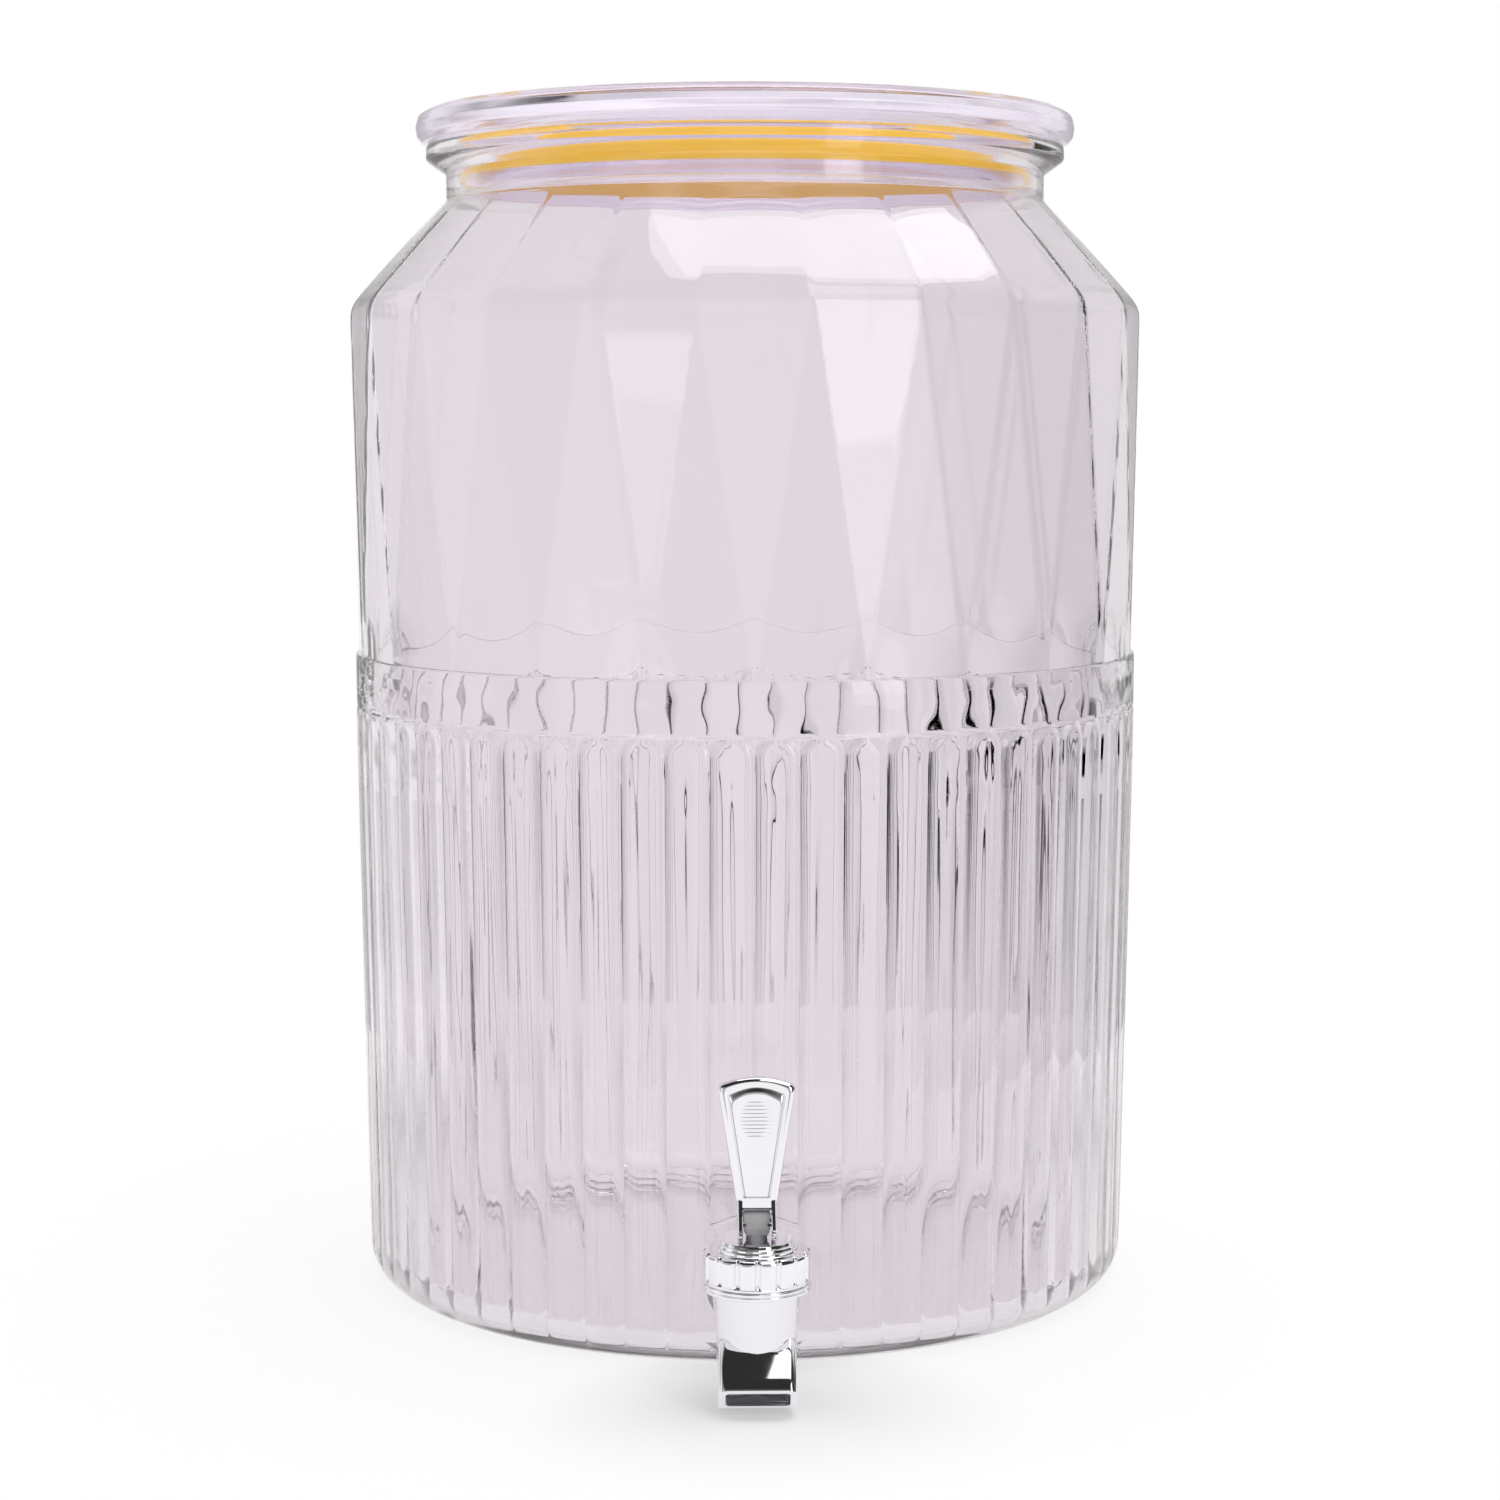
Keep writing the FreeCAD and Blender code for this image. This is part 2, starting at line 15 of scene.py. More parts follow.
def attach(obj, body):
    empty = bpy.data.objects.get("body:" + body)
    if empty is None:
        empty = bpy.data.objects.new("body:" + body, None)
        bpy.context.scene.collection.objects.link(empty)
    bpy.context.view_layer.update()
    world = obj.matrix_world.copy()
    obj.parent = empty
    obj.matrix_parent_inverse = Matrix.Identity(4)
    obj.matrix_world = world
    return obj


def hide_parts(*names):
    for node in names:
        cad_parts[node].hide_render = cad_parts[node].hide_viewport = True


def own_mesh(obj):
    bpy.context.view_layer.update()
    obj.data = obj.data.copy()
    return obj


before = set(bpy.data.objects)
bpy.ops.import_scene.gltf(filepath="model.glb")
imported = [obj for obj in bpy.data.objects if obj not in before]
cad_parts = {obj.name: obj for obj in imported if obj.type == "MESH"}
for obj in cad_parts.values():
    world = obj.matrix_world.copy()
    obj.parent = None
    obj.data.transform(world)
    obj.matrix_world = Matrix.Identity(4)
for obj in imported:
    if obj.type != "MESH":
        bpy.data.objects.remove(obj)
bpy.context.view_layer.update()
MM = 0.001
scene = bpy.context.scene
print("nodes in the frame:", len(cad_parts))

# %% [markdown]
# ## Sums of sockets
# Materials and Geometry Nodes both need arithmetic. Nodes could be added and linked one by one, but a
# long rule is then hard to read. A small class wraps a socket, so a rule is a plain Python expression.

# %% Socket arithmetic
class Wire:
    """An output socket that takes part in Python sums."""

    def __init__(self, tree, socket):
        self.tree = tree
        self.socket = socket

    def maths(self, operation, *others):
        values = dict(enumerate((self,) + others))
        return self.tree.add("ShaderNodeMath", {"operation": operation}, values)

    def out(self, name):
        return Wire(self.tree, self.socket.node.outputs[name])

    def __add__(self, other):
        return self.maths("ADD", other)

    def __mul__(self, other):
        return self.maths("MULTIPLY", other)

    def __sub__(self, other):
        return self.maths("SUBTRACT", other)

    def __truediv__(self, other):
        return self.maths("DIVIDE", other)

    def __mod__(self, other):
        return self.maths("FLOORED_MODULO", other)

    def __pow__(self, other):
        return self.maths("POWER", other)

    def __rsub__(self, other):
        return self * -1 + other

    def __rtruediv__(self, other):
        return self ** -1 * other

    def __abs__(self):
        return self.maths("ABSOLUTE")

    __radd__ = __add__
    __rmul__ = __mul__


class NodeTree:
    """A node tree whose nodes all come from one method."""

    def __init__(self, group):
        self.group = group

    def add(self, kind, settings=None, values=None, out=0):
        node = self.group.nodes.new(kind)
        for name, setting in (settings or {}).items():
            setattr(node, name, setting)
        for name, value in (values or {}).items():
            if isinstance(value, Wire):
                self.group.links.new(value.socket, node.inputs[name])
            else:
                node.inputs[name].default_value = value
        return Wire(self, node.outputs[out]) if node.outputs else None


print("socket sums ready")

# %% Rules that several trees use
def empty_tree(owner):
    """Node tree of a material or a world, without the nodes it starts with."""
    owner.use_nodes = True
    owner.node_tree.nodes.clear()
    return NodeTree(owner.node_tree)


def ramp(value, start, end):
    """0 before start, 1 after end, and straight between them."""
    return ((value - start) / (end - start)).maths("MAXIMUM", 0.0).maths("MINIMUM", 1.0)


def between(start, end, share):
    return start * (1 - share) + end * share


def mixed(tree, share, first, second):
    """Mix of two colours. A Mix node keeps its colour sockets behind those for numbers and vectors."""
    return tree.add("ShaderNodeMix", {"data_type": "RGBA"}, {0: share, 6: first, 7: second}, out=2)


def rgb(red, green, blue):
    return (red, green, blue, 1.0)


print("shared rules ready")

# %% [markdown]
# ## Camera
# The photograph was taken from about a metre away, from three quarters of the jar's height and looking
# slightly down. The distance was solved from how the rims flatten, so perspective matches as well.

# %% Camera
IMAGE = 1500
FOCAL_PIXELS = 3110
SENSOR = 36
camera_distance = 934 * MM
camera_height = 256.5 * MM
camera_turn = math.radians(-1.25)
camera_pitch = math.radians(6.06)
axis_offset_pixels = 5

camera_data = bpy.data.cameras.new("camera")
camera_data.sensor_width = SENSOR
camera_data.lens = FOCAL_PIXELS / IMAGE * SENSOR
camera_data.clip_start = 10 * MM
camera = bpy.data.objects.new("camera", camera_data)
scene.collection.objects.link(camera)
camera.location = (camera_distance * math.sin(camera_turn), -camera_distance * math.cos(camera_turn),
                   camera_height)
heading = -camera_turn + math.atan(axis_offset_pixels / FOCAL_PIXELS)
look = Vector((math.sin(heading) * math.cos(camera_pitch), math.cos(heading) * math.cos(camera_pitch),
               -math.sin(camera_pitch)))
camera.rotation_euler = look.to_track_quat("-Z", "Y").to_euler()
scene.camera = camera
print("lens", round(camera_data.lens, 1), "mm")

# %% [markdown]
# ## Finishes
# Every finish is built from noise on Object coordinates, so it sits still on its piece. One flat colour
# would be quicker, but a large clear wall then looks dead. The clear plastics let nearly all light
# through; grain on the ribs, ripples in the band and slow flow lines give the uneven sheen of a moulding.
# A weak glow in the seal and a trace of it in the lid are painted light: they brighten parts that the clear
# walls shade from the lamps.

# %% Finish helper
EVEN = (1, 1, 1)
UPRIGHT = (1, 1, 0.03)
EVERYWHERE = None
DULLNESS_FINENESS = 6


def finish(name, settings, colours, colour_noise, roughness, bumps):
    """Principled finish: two colours mixed by noise, a roughness range, and bump layers.
    A noise is (scale, stretch). A bump layer is (scale, stretch, detail, depth, heights), and its heights
    are a foot, a top and the length over which it fades. Lengths are in metres."""
    material = bpy.data.materials.new(name)
    tree = empty_tree(material)
    place = tree.add("ShaderNodeTexCoord").out("Object")

    def noise(scale, stretch, detail=2.0):
        stretched = tree.add("ShaderNodeVectorMath", {"operation": "MULTIPLY"}, {0: place, 1: stretch})
        return tree.add("ShaderNodeTexNoise", {}, {"Vector": stretched, "Scale": scale, "Detail": detail})

    low, high = roughness
    dull = low + (high - low) * noise(colour_noise[0] * DULLNESS_FINENESS, EVEN)
    values = {"Base Color": mixed(tree, noise(*colour_noise), *colours), "Roughness": dull}
    for scale, stretch, detail, depth, heights in bumps:
        relief = noise(scale, stretch, detail)
        if heights:
            foot, top, fade = heights
            level = tree.add("ShaderNodeSeparateXYZ", {}, {0: place}).out("Z")
            relief = relief * ramp((level - foot).maths("MINIMUM", top - level), 0.0, fade)
        inputs = {"Height": relief, "Distance": depth, "Strength": 1.0}
        if "Normal" in values:
            inputs["Normal"] = values["Normal"]
        values["Normal"] = tree.add("ShaderNodeBump", {}, inputs)
    values.update(settings)
    shader = tree.add("ShaderNodeBsdfPrincipled", {}, values)
    tree.add("ShaderNodeOutputMaterial", {}, {"Surface": shader})
    return material


print("finish helper ready")

# %% Clear plastics
ribs_only = (8 * MM, 172 * MM, 12 * MM)
band_only = (150 * MM, 190 * MM, 6 * MM)
rib_grain = (230, UPRIGHT, 1.0, 0.22 * MM, ribs_only)
band_ripples = (110, EVEN, 0.0, 0.2 * MM, band_only)
flow_lines = (14, EVEN, 0.0, 0.9 * MM, EVERYWHERE)
jar_clear = finish("jar_clear", {"Transmission Weight": 0.985, "IOR": 1.5},
                   [rgb(0.872, 0.832, 0.866), rgb(0.892, 0.852, 0.885)], (9, EVEN), (0.0, 0.03),
                   [rib_grain, band_ripples, flow_lines])
# Painted light: a faint lavender glow brightens the lid.
painted_lid_glow = {"Emission Color": rgb(0.90, 0.84, 0.95), "Emission Strength": 0.014}
lid_clear = finish("lid_clear", {"Transmission Weight": 1.0, "IOR": 1.5, **painted_lid_glow},
                   [rgb(0.81, 0.755, 0.86), rgb(0.84, 0.785, 0.885)], (9, EVEN), (0.05, 0.08),
                   [(30, EVEN, 0.0, 0.06 * MM, EVERYWHERE)])
print("clear plastics:", jar_clear.name, lid_clear.name)

# %% Silicones, chrome, grey plastic and steel
# Painted light: an orange glow brightens the seal, which the clear jar and lid shade from the lamps.
painted_seal_glow = {"Emission Color": rgb(0.92, 0.54, 0.01), "Emission Strength": 0.5}
moulded_grain = [(1500, EVEN, 2.0, 0.03 * MM, EVERYWHERE)]
wire_streaks, drawn_lines = (1, 1, 8), (1, 1, 10)
seal_silicone = finish("seal_silicone", {"IOR": 1.42, **painted_seal_glow},
                       [rgb(0.93, 0.55, 0.008), rgb(0.97, 0.62, 0.015)],
                       (40, EVEN), (0.35, 0.5), [(900, EVEN, 2.0, 0.03 * MM, EVERYWHERE)])
tap_chrome = finish("tap_chrome", {"Metallic": 1.0}, [rgb(0.87, 0.86, 0.89), rgb(0.92, 0.91, 0.935)],
                    (60, EVEN), (0.02, 0.07), [(90, EVEN, 0.0, 0.05 * MM, EVERYWHERE)])
stem_grey = finish("stem_grey", {"IOR": 1.48}, [rgb(0.44, 0.43, 0.44), rgb(0.52, 0.51, 0.52)],
                   (150, EVEN), (0.35, 0.5), moulded_grain)
nut_pale = finish("nut_pale", {"IOR": 1.48}, [rgb(0.70, 0.69, 0.70), rgb(0.78, 0.77, 0.78)],
                  (150, EVEN), (0.35, 0.5), moulded_grain)
milky_silicone = finish("milky_silicone", {"IOR": 1.42}, [rgb(0.83, 0.83, 0.82), rgb(0.88, 0.88, 0.87)],
                        (80, EVEN), (0.4, 0.55), [(1200, EVEN, 2.0, 0.02 * MM, EVERYWHERE)])
spring_steel = finish("spring_steel", {"Metallic": 1.0}, [rgb(0.52, 0.51, 0.50), rgb(0.62, 0.61, 0.60)],
                      (300, wire_streaks), (0.18, 0.34), [(900, drawn_lines, 2.0, 0.01 * MM, EVERYWHERE)])
print("solid finishes ready")

# %% [markdown]
# ## Tools for meshes
# Most small pieces are turned, layered or cut. A turned piece could be a screw modifier on a curve,
# but an outline with rounded corners and a loop is as short, and every edge gets its highlight.

# %% Mesh tools
SAME_PLACE = 1e-7


def add_object(name, mesh, material):
    obj = bpy.data.objects.new(name, mesh)
    scene.collection.objects.link(obj)
    mesh.materials.clear()
    mesh.materials.append(material)
    return obj


def shaded(obj, degrees=35):
    """Smooth shading that keeps edges sharper than an angle."""
    obj.data.shade_smooth()
    obj.data.set_sharp_from_angle(angle=math.radians(degrees))
    return obj


def from_form(name, form, material):
    """Object from an editable form, with doubles merged and faces turned outwards."""
    bmesh.ops.remove_doubles(form, verts=form.verts, dist=SAME_PLACE)
    bmesh.ops.recalc_face_normals(form, faces=form.faces)
    mesh = bpy.data.meshes.new(name)
    form.to_mesh(mesh)
    form.free()
    return shaded(add_object(name, mesh, material))


def plain_mesh(obj):
    """Replaces an object's mesh by what its modifiers make of it."""
    evaluated = obj.evaluated_get(bpy.context.evaluated_depsgraph_get())
    mesh = bpy.data.meshes.new_from_object(evaluated)
    obj.modifiers.clear()
    obj.data = mesh
    return obj


def combined(base, tools, operation):
    """Adds tools to the base or cuts them from it, and removes them."""
    for tool in tools:
        cut = base.modifiers.new("cut", "BOOLEAN")
        cut.operation = operation
        cut.solver = "EXACT"
        cut.object = tool
    plain_mesh(base)
    for tool in tools:
        bpy.data.objects.remove(tool)
    return base


print("mesh tools ready")

# %% Turned and layered shapes
ON_AXIS = 1e-9


def rounded(corners, steps=5):
    """Closed outline through (across, up, radius) corners, each rounded by its radius."""
    outline = []
    for i, (across, up, radius) in enumerate(corners):
        here = Vector((across, up))
        if radius == 0:
            outline.append(here)
            continue
        before = (Vector(corners[i - 1][:2]) - here).normalized()
        after = (Vector(corners[(i + 1) % len(corners)][:2]) - here).normalized()
        half = before.angle(after) / 2
        centre = here + (before + after).normalized() * (radius / math.sin(half))
        start = here + before * (radius / math.tan(half)) - centre
        turn = (math.pi - 2 * half) * (1 if before.cross(after) < 0 else -1)
        for k in range(steps + 1):
            outline.append(centre + Matrix.Rotation(turn * k / steps, 2) @ start)
    return outline


def turned(name, outline, material, centre=(0, 0), segments=128):
    """Turns a closed outline in millimetres round an upright axis."""
    form = bmesh.new()
    rings = []
    for i in range(segments):
        angle = 2 * math.pi * i / segments
        ring = []
        for radius, up in outline:
            ring.append(form.verts.new((centre[0] + radius * MM * math.cos(angle),
                                        centre[1] + radius * MM * math.sin(angle), up * MM)))
        rings.append(ring)
    for i in range(segments):
        here, after = rings[i], rings[(i + 1) % segments]
        for k in range(len(outline)):
            j = (k + 1) % len(outline)
            if outline[k][0] < ON_AXIS and outline[j][0] < ON_AXIS:
                continue
            form.faces.new((here[k], after[k], after[j], here[j]))
    return from_form(name, form, material)


def layered(name, layers, material):
    """Closed skin through layers of equally many points, capped at both ends. Millimetres."""
    form = bmesh.new()
    rings = [[form.verts.new(Vector(point) * MM) for point in layer] for layer in layers]
    count = len(rings[0])
    for low, high in zip(rings, rings[1:]):
        for k in range(count):
            j = (k + 1) % count
            form.faces.new((low[k], low[j], high[j], high[k]))
    form.faces.new(rings[0])
    form.faces.new(rings[-1])
    return from_form(name, form, material)


print("shape tools ready")

# %% [markdown]
# ## The rule of the jar
# The jar is one moulding: a ring of dome-topped ribs, a plain band, cut facets whose triangles point up
# and down in turn, a sloped shoulder, and a round neck. It could be cut by hundreds of booleans, but one
# rule gives the radius at every angle and height. A grid of points follows it in Geometry Nodes.
# The rows of the grid run from the middle of the base up the outside, over the mouth and down inside.

# %% Jar sizes in millimetres
COLUMNS = 720
RIBS = 60
FACETS = 24
rib_top, ledge, shoulder_corner, neck_foot, mouth = 173.0, 188.0, 289.4, 320.4, 336.0
crest, rib_depth, draft, band = 116.4, 1.1, 2.6, 116.2
facet_foot, facet_top = 115.9, 116.6
neck, bore, flange, wall, rib_wall = 88.2, 85.0, 94.0, 2.8, 4.6
foot_corner, floor_top, recess = 11.0, 5.5, 1.5
foot = crest - draft
valley = crest - rib_depth
rib_chord = valley * math.sin(math.pi / RIBS)
dome_foot = rib_top - rib_chord
print("ribs", round(2 * rib_chord, 2), "mm wide, domes start at", round(dome_foot, 1), "mm")

# %% Rows up the outside
FOOT_STEPS, DOME_STEPS = 7, 15
rows = []


def row(radius, height, core=0.0, ribbed=0.0, faceted=0.0, inset=0.0):
    rows.append((radius, height, core, ribbed, faceted, inset))


def plain_rows(outline):
    for radius, height in outline:
        row(radius, height)


def drafted(radius, height):
    return radius - draft * max(0.0, 1 - height / rib_top)


def rib_row(height, envelope=None):
    core = max(drafted(valley, height), band - max(0.0, rib_top - height))
    row(envelope or min(drafted(crest, height), band), height, core=core, ribbed=1.0)


plain_rows([(0, recess), (48, recess), (84, recess), (87, 1.4), (90, 1.1), (93, 0.6), (95.5, 0.15),
            (97.5, 0), (102.8, 0)])
for i in range(1, FOOT_STEPS + 1):
    turn = math.radians(90 * i / FOOT_STEPS)
    rib_row(foot_corner * (1 - math.cos(turn)), foot - foot_corner * (1 - math.sin(turn)))
for height in (18, 30, 45, 70, 100, 130, 152, 163):
    rib_row(height)
for i in range(DOME_STEPS):
    rib_row(dome_foot + (rib_top - dome_foot) * math.sin(math.pi / 2 * (i + 1) / DOME_STEPS))
plain_rows([(band, 174), (band, 181), (band, 187.3), (band - 0.15, 187.85), (band - 0.25, ledge)])
facet_steps = COLUMNS // FACETS // 2
facet_rows = [ledge + (shoulder_corner - ledge) * i / facet_steps for i in range(facet_steps)]
corner_rows = [285.4, 287, 288.3, 289.4, 290.6, 291.9, 293.6]
neck_rows = [300, 308, 314, 317.6, 318.6, 319.4, 320, 320.4, 320.8, 321.2, 321.7, 322.3, 323.2]
for height in facet_rows + corner_rows + neck_rows:
    row(0, height, faceted=1.0)
print(len(rows), "rows outside")

# %% Rows over the mouth and down inside
INNER_STEPS = 6
plain_rows([(neck, 325.4), (neck, 327.6), (neck + 0.3, 328.1), (93.4, 331.6), (flange, 332.4),
            (flange, 335.3), (93.8, 335.8), (93.3, mouth), (85.7, mouth), (85.2, 335.8),
            (bore, 335.3), (bore, 326)])
bore_rows = [323, 321.6, 320.6, 319.8, 319, 318.2, 317.4, 316.4, 315, 312, 306, 300]
inner_ledge = 200
inner_facet_rows = [height for height in facet_rows if height > inner_ledge]
for height in bore_rows + corner_rows[::-1] + inner_facet_rows[::-1]:
    row(0, height, faceted=1.0, inset=1.0)
plain_rows([(112.6, 192), (112.8, 182), (112.0, 171.2), (110.9, 110), (110.0, 55)])
inner = foot - rib_wall
inner_corner = foot_corner - wall
for i in range(INNER_STEPS + 1):
    turn = math.radians(90 * i / INNER_STEPS)
    row(inner - inner_corner * (1 - math.cos(turn)), floor_top + inner_corner * (1 - math.sin(turn)))
plain_rows([(55, floor_top), (0, floor_top)])
print(len(rows), "rows in all")

# %% Helpers for shapes grown by a rule
SAME_SPOT = 1e-6


def shape_tree(name, sizes):
    """Geometry Nodes tree with a named input for each size."""
    group = bpy.data.node_groups.new(name, "GeometryNodeTree")
    group.interface.new_socket("Geometry", in_out="OUTPUT", socket_type="NodeSocketGeometry")
    group.interface.new_socket("Rows", in_out="INPUT", socket_type="NodeSocketGeometry")
    for size, value in sizes.items():
        kind = "NodeSocketInt" if isinstance(value, int) else "NodeSocketFloat"
        group.interface.new_socket(size, in_out="INPUT", socket_type=kind)
    tree = NodeTree(group)
    return tree, tree.add("NodeGroupInput")


def closed(tree, mesh, material):
    """Closes seam and poles, and ends the tree with its material."""
    mesh = tree.add("GeometryNodeMergeByDistance", {}, {"Geometry": mesh, "Distance": SAME_SPOT})
    mesh = tree.add("GeometryNodeRealizeInstances", {}, {"Geometry": mesh})
    mesh = tree.add("GeometryNodeSetMaterial", {}, {"Geometry": mesh, "Material": material})
    tree.add("NodeGroupOutput", {}, {"Geometry": mesh})


def grow(name, source, tree, sizes):
    """Runs a tree on a mesh and keeps the result as a plain mesh."""
    obj = bpy.data.objects.new(name, source)
    scene.collection.objects.link(obj)
    shape = obj.modifiers.new("shape", "NODES")
    shape.node_group = tree.group
    for item in tree.group.interface.items_tree:
        if item.in_out == "INPUT" and item.name in sizes:
            shape[item.identifier] = sizes[item.name]
    plain_mesh(obj)
    print(name, len(obj.data.polygons), "faces")
    return obj


print("growing tools ready")

# %% Helpers for a grid that goes round a piece
def row_points(name, fields, table):
    """One point for each row of a grid, with the row's values as attributes, in metres or shares."""
    mesh = bpy.data.meshes.new(name)
    mesh.from_pydata([(0, 0, 0)] * len(table), [], [])
    for k, (field, unit) in enumerate(fields):
        layer = mesh.attributes.new(field, "FLOAT", "POINT")
        layer.data.foreach_set("value", [values[k] * unit for values in table])
    return mesh


def grid_place(tree, entry, row_count):
    """Grid whose columns go round the piece: returns its mesh, each point's angle and row values."""
    columns = entry.out("Columns")
    grid = tree.add("GeometryNodeMeshGrid", {}, {"Size X": 1.0, "Size Y": 1.0, "Vertices X": columns + 1,
                                                 "Vertices Y": row_count})
    across = tree.add("ShaderNodeSeparateXYZ", {}, {0: tree.add("GeometryNodeInputPosition")})
    turn = (across.out("X") + 0.5) * (2 * math.pi)
    index = ((across.out("Y") + 0.5) * (row_count - 1)).maths("ROUND")

    def value(field):
        named = tree.add("GeometryNodeInputNamedAttribute", {"data_type": "FLOAT"}, {"Name": field})
        return tree.add("GeometryNodeSampleIndex", {"data_type": "FLOAT", "domain": "POINT"},
                        {"Geometry": entry.out("Rows"), "Value": named, "Index": index})

    return grid, turn, value


def placed(tree, grid, turn, radius, height, centre=(0.0, 0.0)):
    """Moves the grid on to the radius and height; angle 0 faces the front, -Y."""
    spot = tree.add("ShaderNodeCombineXYZ", {}, {
        "X": radius * turn.maths("SINE") + centre[0],
        "Y": radius * turn.maths("COSINE") * -1 + centre[1],
        "Z": height})
    return tree.add("GeometryNodeSetPosition", {}, {"Geometry": grid, "Position": spot})


print("grid tools ready")

# %% Rule of the ribs
jar_sizes = {"Columns": COLUMNS, "Ribs": RIBS, "Facets": FACETS, "Half rib": rib_chord * MM,
             "Rib fullness": 2.6, "Dome foot": dome_foot * MM, "Crowding": 0.75, "Blend": 0.4 * MM,
             "Corner blend": 4.5 * MM, "Neck": neck * MM, "Bore": bore * MM, "Neck blend": 0.9 * MM,
             "Bore blend": 2.5 * MM}
tree, entry = shape_tree("jar_rule", jar_sizes)
grid, turn, value = grid_place(tree, entry, len(rows))
height, radius, core = value("height"), value("radius"), value("core")
ribbed, faceted, inset = value("ribbed"), value("faceted"), value("inset")

crowded = ribbed * entry.out("Crowding") * (turn * entry.out("Ribs")).maths("SINE") / entry.out("Ribs")
turn = turn - crowded
pitch = 2 * math.pi / entry.out("Ribs")
from_crest = abs(turn % pitch - pitch / 2)
over_dome = (height - entry.out("Dome foot")).maths("MAXIMUM", 0.0)
aside = core * from_crest
half_rib = entry.out("Half rib")
share = (aside * aside + over_dome * over_dome) / (half_rib * half_rib)
bar = core + rib_depth * MM * (1 - share ** entry.out("Rib fullness"))
fluted = bar.maths("SMOOTH_MAX", core, entry.out("Blend")).maths("MINIMUM", radius)
print(RIBS, "ribs by rule")

# %% Rule of the facets, shoulder and neck
ease_start = 0.5
step = 2 * math.pi / entry.out("Facets")
from_top_corner = abs(turn % step - step / 2)
from_foot_corner = step / 2 - from_top_corner
flat = (step / 2).maths("COSINE")
rise = (height - ledge * MM) / ((shoulder_corner - ledge) * MM)
slope = (height - shoulder_corner * MM) / ((neck_foot - shoulder_corner) * MM)
pulled_in = inset * (wall * MM)

upward = between(facet_foot * MM * flat, facet_top * MM, rise) / from_top_corner.maths("COSINE")
downward = between(facet_foot * MM, facet_top * MM * flat, rise) / from_foot_corner.maths("COSINE")
bent = between(from_foot_corner.maths("COSINE"), 1.0, ramp(slope, ease_start, 1.0))
sloped = between(facet_top * MM * flat, neck * MM, slope) / bent
cut = upward.maths("MINIMUM", downward).maths("SMOOTH_MIN", sloped, entry.out("Corner blend")) - pulled_in
throat = between(entry.out("Neck"), entry.out("Bore"), inset)
cut = cut.maths("SMOOTH_MAX", throat, between(entry.out("Neck blend"), entry.out("Bore blend"), inset))
print(2 * FACETS, "facets by rule")

# %% Grow the jar
reach = radius * (1 - ribbed - faceted) + fluted * ribbed + cut * faceted
shell = placed(tree, grid, turn, reach, height)
rising = ((turn % step) - step / 2) * (inset * 2 - 1)
for method, chosen in (("FIXED", rising.maths("GREATER_THAN", 0.0)),
                       ("FIXED_ALTERNATE", rising.maths("LESS_THAN", 0.0))):
    shell = tree.add("GeometryNodeTriangulate", {"quad_method": method},
                     {"Mesh": shell, "Selection": chosen * faceted})
closed(tree, shell, jar_clear)
row_fields = [("radius", MM), ("height", MM), ("core", MM), ("ribbed", 1), ("faceted", 1), ("inset", 1)]
jar = grow("jar", row_points("jar_rows", row_fields, rows), tree, jar_sizes)

# %% [markdown]
# ## Pad and hole for the tap
# The tap needs a flat seat, so the moulding has a round pad across the ribs with a hole in it. Here the
# rule would need a very fine grid, while three exact booleans cut the round edges cleanly. The pad ends a
# hair before the washer behind it, because light is lost between faces that lie in one plane.

# %% Pad and hole
tap_level = 23.0
pad_radius, pad_depth, pad_thickness = 20.0, 1.2, 4.4
hole_radius = 8.3
washer_gap = 0.04
overlap = 0.01
pad_face = -(drafted(crest, tap_level) - pad_depth)
pad_back = pad_face + pad_thickness


def inlet_rod(name, radius, start, end, material, segments=96):
    """Rod along Y on the axis of the tap's inlet, in millimetres."""
    form = bmesh.new()
    bmesh.ops.create_cone(form, cap_ends=True, segments=segments, radius1=radius * MM, radius2=radius * MM,
                          depth=(end - start) * MM)
    place = Matrix.Translation(Vector((0, (start + end) / 2, tap_level)) * MM)
    bmesh.ops.transform(form, matrix=place @ Matrix.Rotation(math.pi / 2, 4, "X"), verts=form.verts)
    return from_form(name, form, material)


disc = inlet_rod("disc", pad_radius, pad_face - overlap, pad_back - washer_gap, jar_clear)
clearing = inlet_rod("clearing", pad_radius + overlap, pad_face - pad_radius, pad_face, jar_clear)
hole = inlet_rod("hole", hole_radius, pad_face - pad_radius, pad_back + pad_radius, jar_clear)
combined(jar, [clearing], "DIFFERENCE")
combined(jar, [disc], "UNION")
combined(jar, [hole], "DIFFERENCE")
shaded(jar, degrees=60)
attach(jar, "jar")
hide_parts("jar_body")
print("jar triangles", sum(len(face.vertices) - 2 for face in jar.data.polygons))

# %% [markdown]
# ## Lid and seal
# The lid is a push-in plug with a thick rounded rim that shows lavender where the plastic is deep. A
# golden silicone ring sits in a groove of the plug and grips the neck. Both could be lathed by a modifier;
# a turned outline keeps their small radii. A hair of air stays between lid and mouth, as behind the pad.

# %% Lid
seat_gap = 0.05
lid_seat = mouth + seat_gap
lid_outline = rounded([
    (0, 340.4, 0), (78.9, 340.4, 1.2), (80.4, 338.6, 1.0), (80.4, 323, 0.5), (82.8, 323, 0.6),
    (82.8, 326.8, 0.2), (81.6, 326.8, 0), (81.6, 334.8, 0), (82.8, 334.8, 0.2), (82.8, lid_seat, 0.3),
    (93, lid_seat, 0.2), (95, lid_seat + 0.8, 0.4), (96.6, 338.6, 2.0), (97, 341.4, 2.5),
    (96.3, 344.4, 2.0), (93.6, 346, 2.0), (89.5, 346, 0.9), (89.3, 343, 0.8), (0, 343, 0)])
lid = turned("lid", lid_outline, lid_clear, segments=256)
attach(lid, "lid")
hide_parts("lid")
print("lid", len(lid.data.polygons), "faces")

